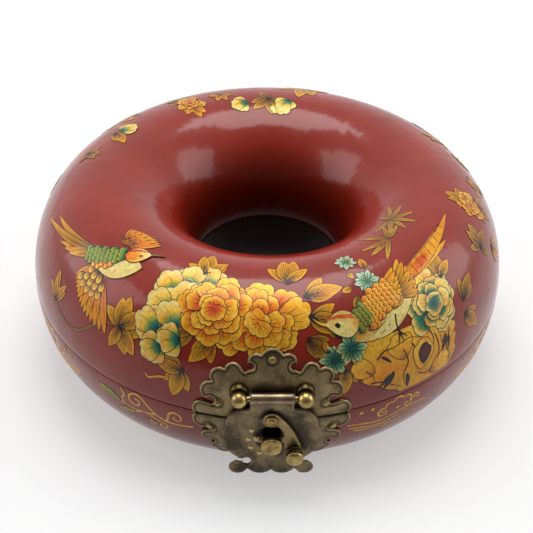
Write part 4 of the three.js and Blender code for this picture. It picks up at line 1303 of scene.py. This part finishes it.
def draw_base_scrolls(bm):
    for azimuth in (-27.5, -93, 93, -155):
        draw_vine(bm, spot_on(base_face, azimuth, 9.5, 0, 1 if azimuth < 0 else -1))
    for azimuth in (30.5, -60, 62, 124, -124, 155):
        draw_cloud(bm, spot_on(base_face, azimuth, 7.5, 0, 1 if azimuth > 0 else -1))


painted("painted_base_scrolls", "base", draw_base_scrolls)

# Photograph: a plain pale floor under three softboxes, seen from the photo's own viewpoint. The
# floor and the world look white to the camera and in gloss, and light the box weakly.
photo_side = 533
focal_px = 1200
camera_reach = 635.1 * mm
camera_rise = 0.6563
camera_roll = 0.0159
camera_turn = math.radians(-1.45)  # about the ring's axis, seen from above
seam_middle = ring_axis + Vector((0, 0, (lid_low.z + base_high.z) / 2))
camera_side = Matrix.Rotation(camera_turn, 3, "Z")
camera_aim = seam_middle + camera_side @ Vector((-0.36 * mm, 0, -6.74 * mm))

floor_mesh = bmesh.new()
bmesh.ops.create_grid(floor_mesh, x_segments=1, y_segments=1, size=4)
mesh = bpy.data.meshes.new("floor")
floor_mesh.to_mesh(mesh)
floor_mesh.free()
floor = bpy.data.objects.new("floor", mesh)
bpy.context.scene.collection.objects.link(floor)
paper, paper_tree, paper_shader = new_material("pale paper")


def seen_in_gloss_or_glass(tree):
    """Mask of the rays that mirror or pass on what they meet, with the mask of the camera's own."""
    rays = add_node(tree, "LightPath").outputs
    mirrored = add_node(tree, "Math", rays["Is Glossy Ray"], rays["Is Transmission Ray"], operation="MAXIMUM")
    return mirrored.outputs["Value"], rays["Is Camera Ray"]


mirrored, direct = seen_in_gloss_or_glass(paper_tree)
seen = add_node(paper_tree, "Math", direct, mirrored, operation="MAXIMUM").outputs["Value"]
white = add_node(paper_tree, "Math", seen, 0.42, operation="MULTIPLY")
pale = add_node(paper_tree, "Mix", data_type="RGBA", Factor=seen, A=(0.5, 0.5, 0.5, 1),
                B=(0.58, 0.58, 0.58, 1))
feed(paper_tree, paper_shader, Base_Color=pale.outputs["Result"], Roughness=0.9, Specular_IOR_Level=0.1,
     Emission_Color=(1, 1, 1, 1), Emission_Strength=white.outputs["Value"])
mesh.materials.append(paper)

world = bpy.data.worlds.new("studio")
bpy.context.scene.world = world
world.use_nodes = True
studio = world.node_tree
mirrored, direct = seen_in_gloss_or_glass(studio)
sides = add_node(studio, "SeparateXYZ", Vector=add_node(studio, "TexCoord").outputs["Generated"])
dim_front = add_node(studio, "MapRange", Value=sides.outputs["Y"], From_Min=-0.75, From_Max=0.15, To_Min=0.2)
gloss = add_node(studio, "MapRange", Value=mirrored, To_Min=0.3)
level = add_node(studio, "Math", dim_front.outputs["Result"], gloss.outputs["Result"], operation="MULTIPLY")
shown = add_node(studio, "Math", level.outputs["Value"], direct, operation="MAXIMUM")
feed(studio, studio.nodes["Background"], Color=(1, 1, 1, 1), Strength=shown.outputs["Value"])


def add_lamp(name, place, size, watts):
    """Square softbox that faces the middle of the box."""
    lamp = bpy.data.lights.new(name, "AREA")
    lamp.shape = "SQUARE"
    lamp.size = size
    lamp.energy = watts
    holder = bpy.data.objects.new(name, lamp)
    holder.location = place
    holder.rotation_euler = (Vector((0, 0, 0.05)) - Vector(place)).to_track_quat("-Z", "Y").to_euler()
    bpy.context.scene.collection.objects.link(holder)


add_lamp("overhead softbox", (0, 0.24, 1.1), 0.75, 8.5)
add_lamp("left softbox", (-1.3, 0.1, 0.72), 1.0, 7)
add_lamp("right softbox", (1.3, 0.1, 0.72), 1.0, 7)

camera = bpy.data.cameras.new("camera")
camera.lens = focal_px * camera.sensor_width / photo_side
camera.clip_start = 0.01
holder = bpy.data.objects.new("camera", camera)
back = camera_side @ Vector((0, -math.cos(camera_rise), math.sin(camera_rise)))
holder.location = camera_aim + camera_reach * back
aim = (-back).to_track_quat("-Z", "Y") @ Quaternion((0, 0, 1), camera_roll)
holder.rotation_euler = aim.to_euler()
bpy.context.scene.collection.objects.link(holder)
bpy.context.scene.camera = holder
bpy.context.scene.view_settings.view_transform = "Standard"
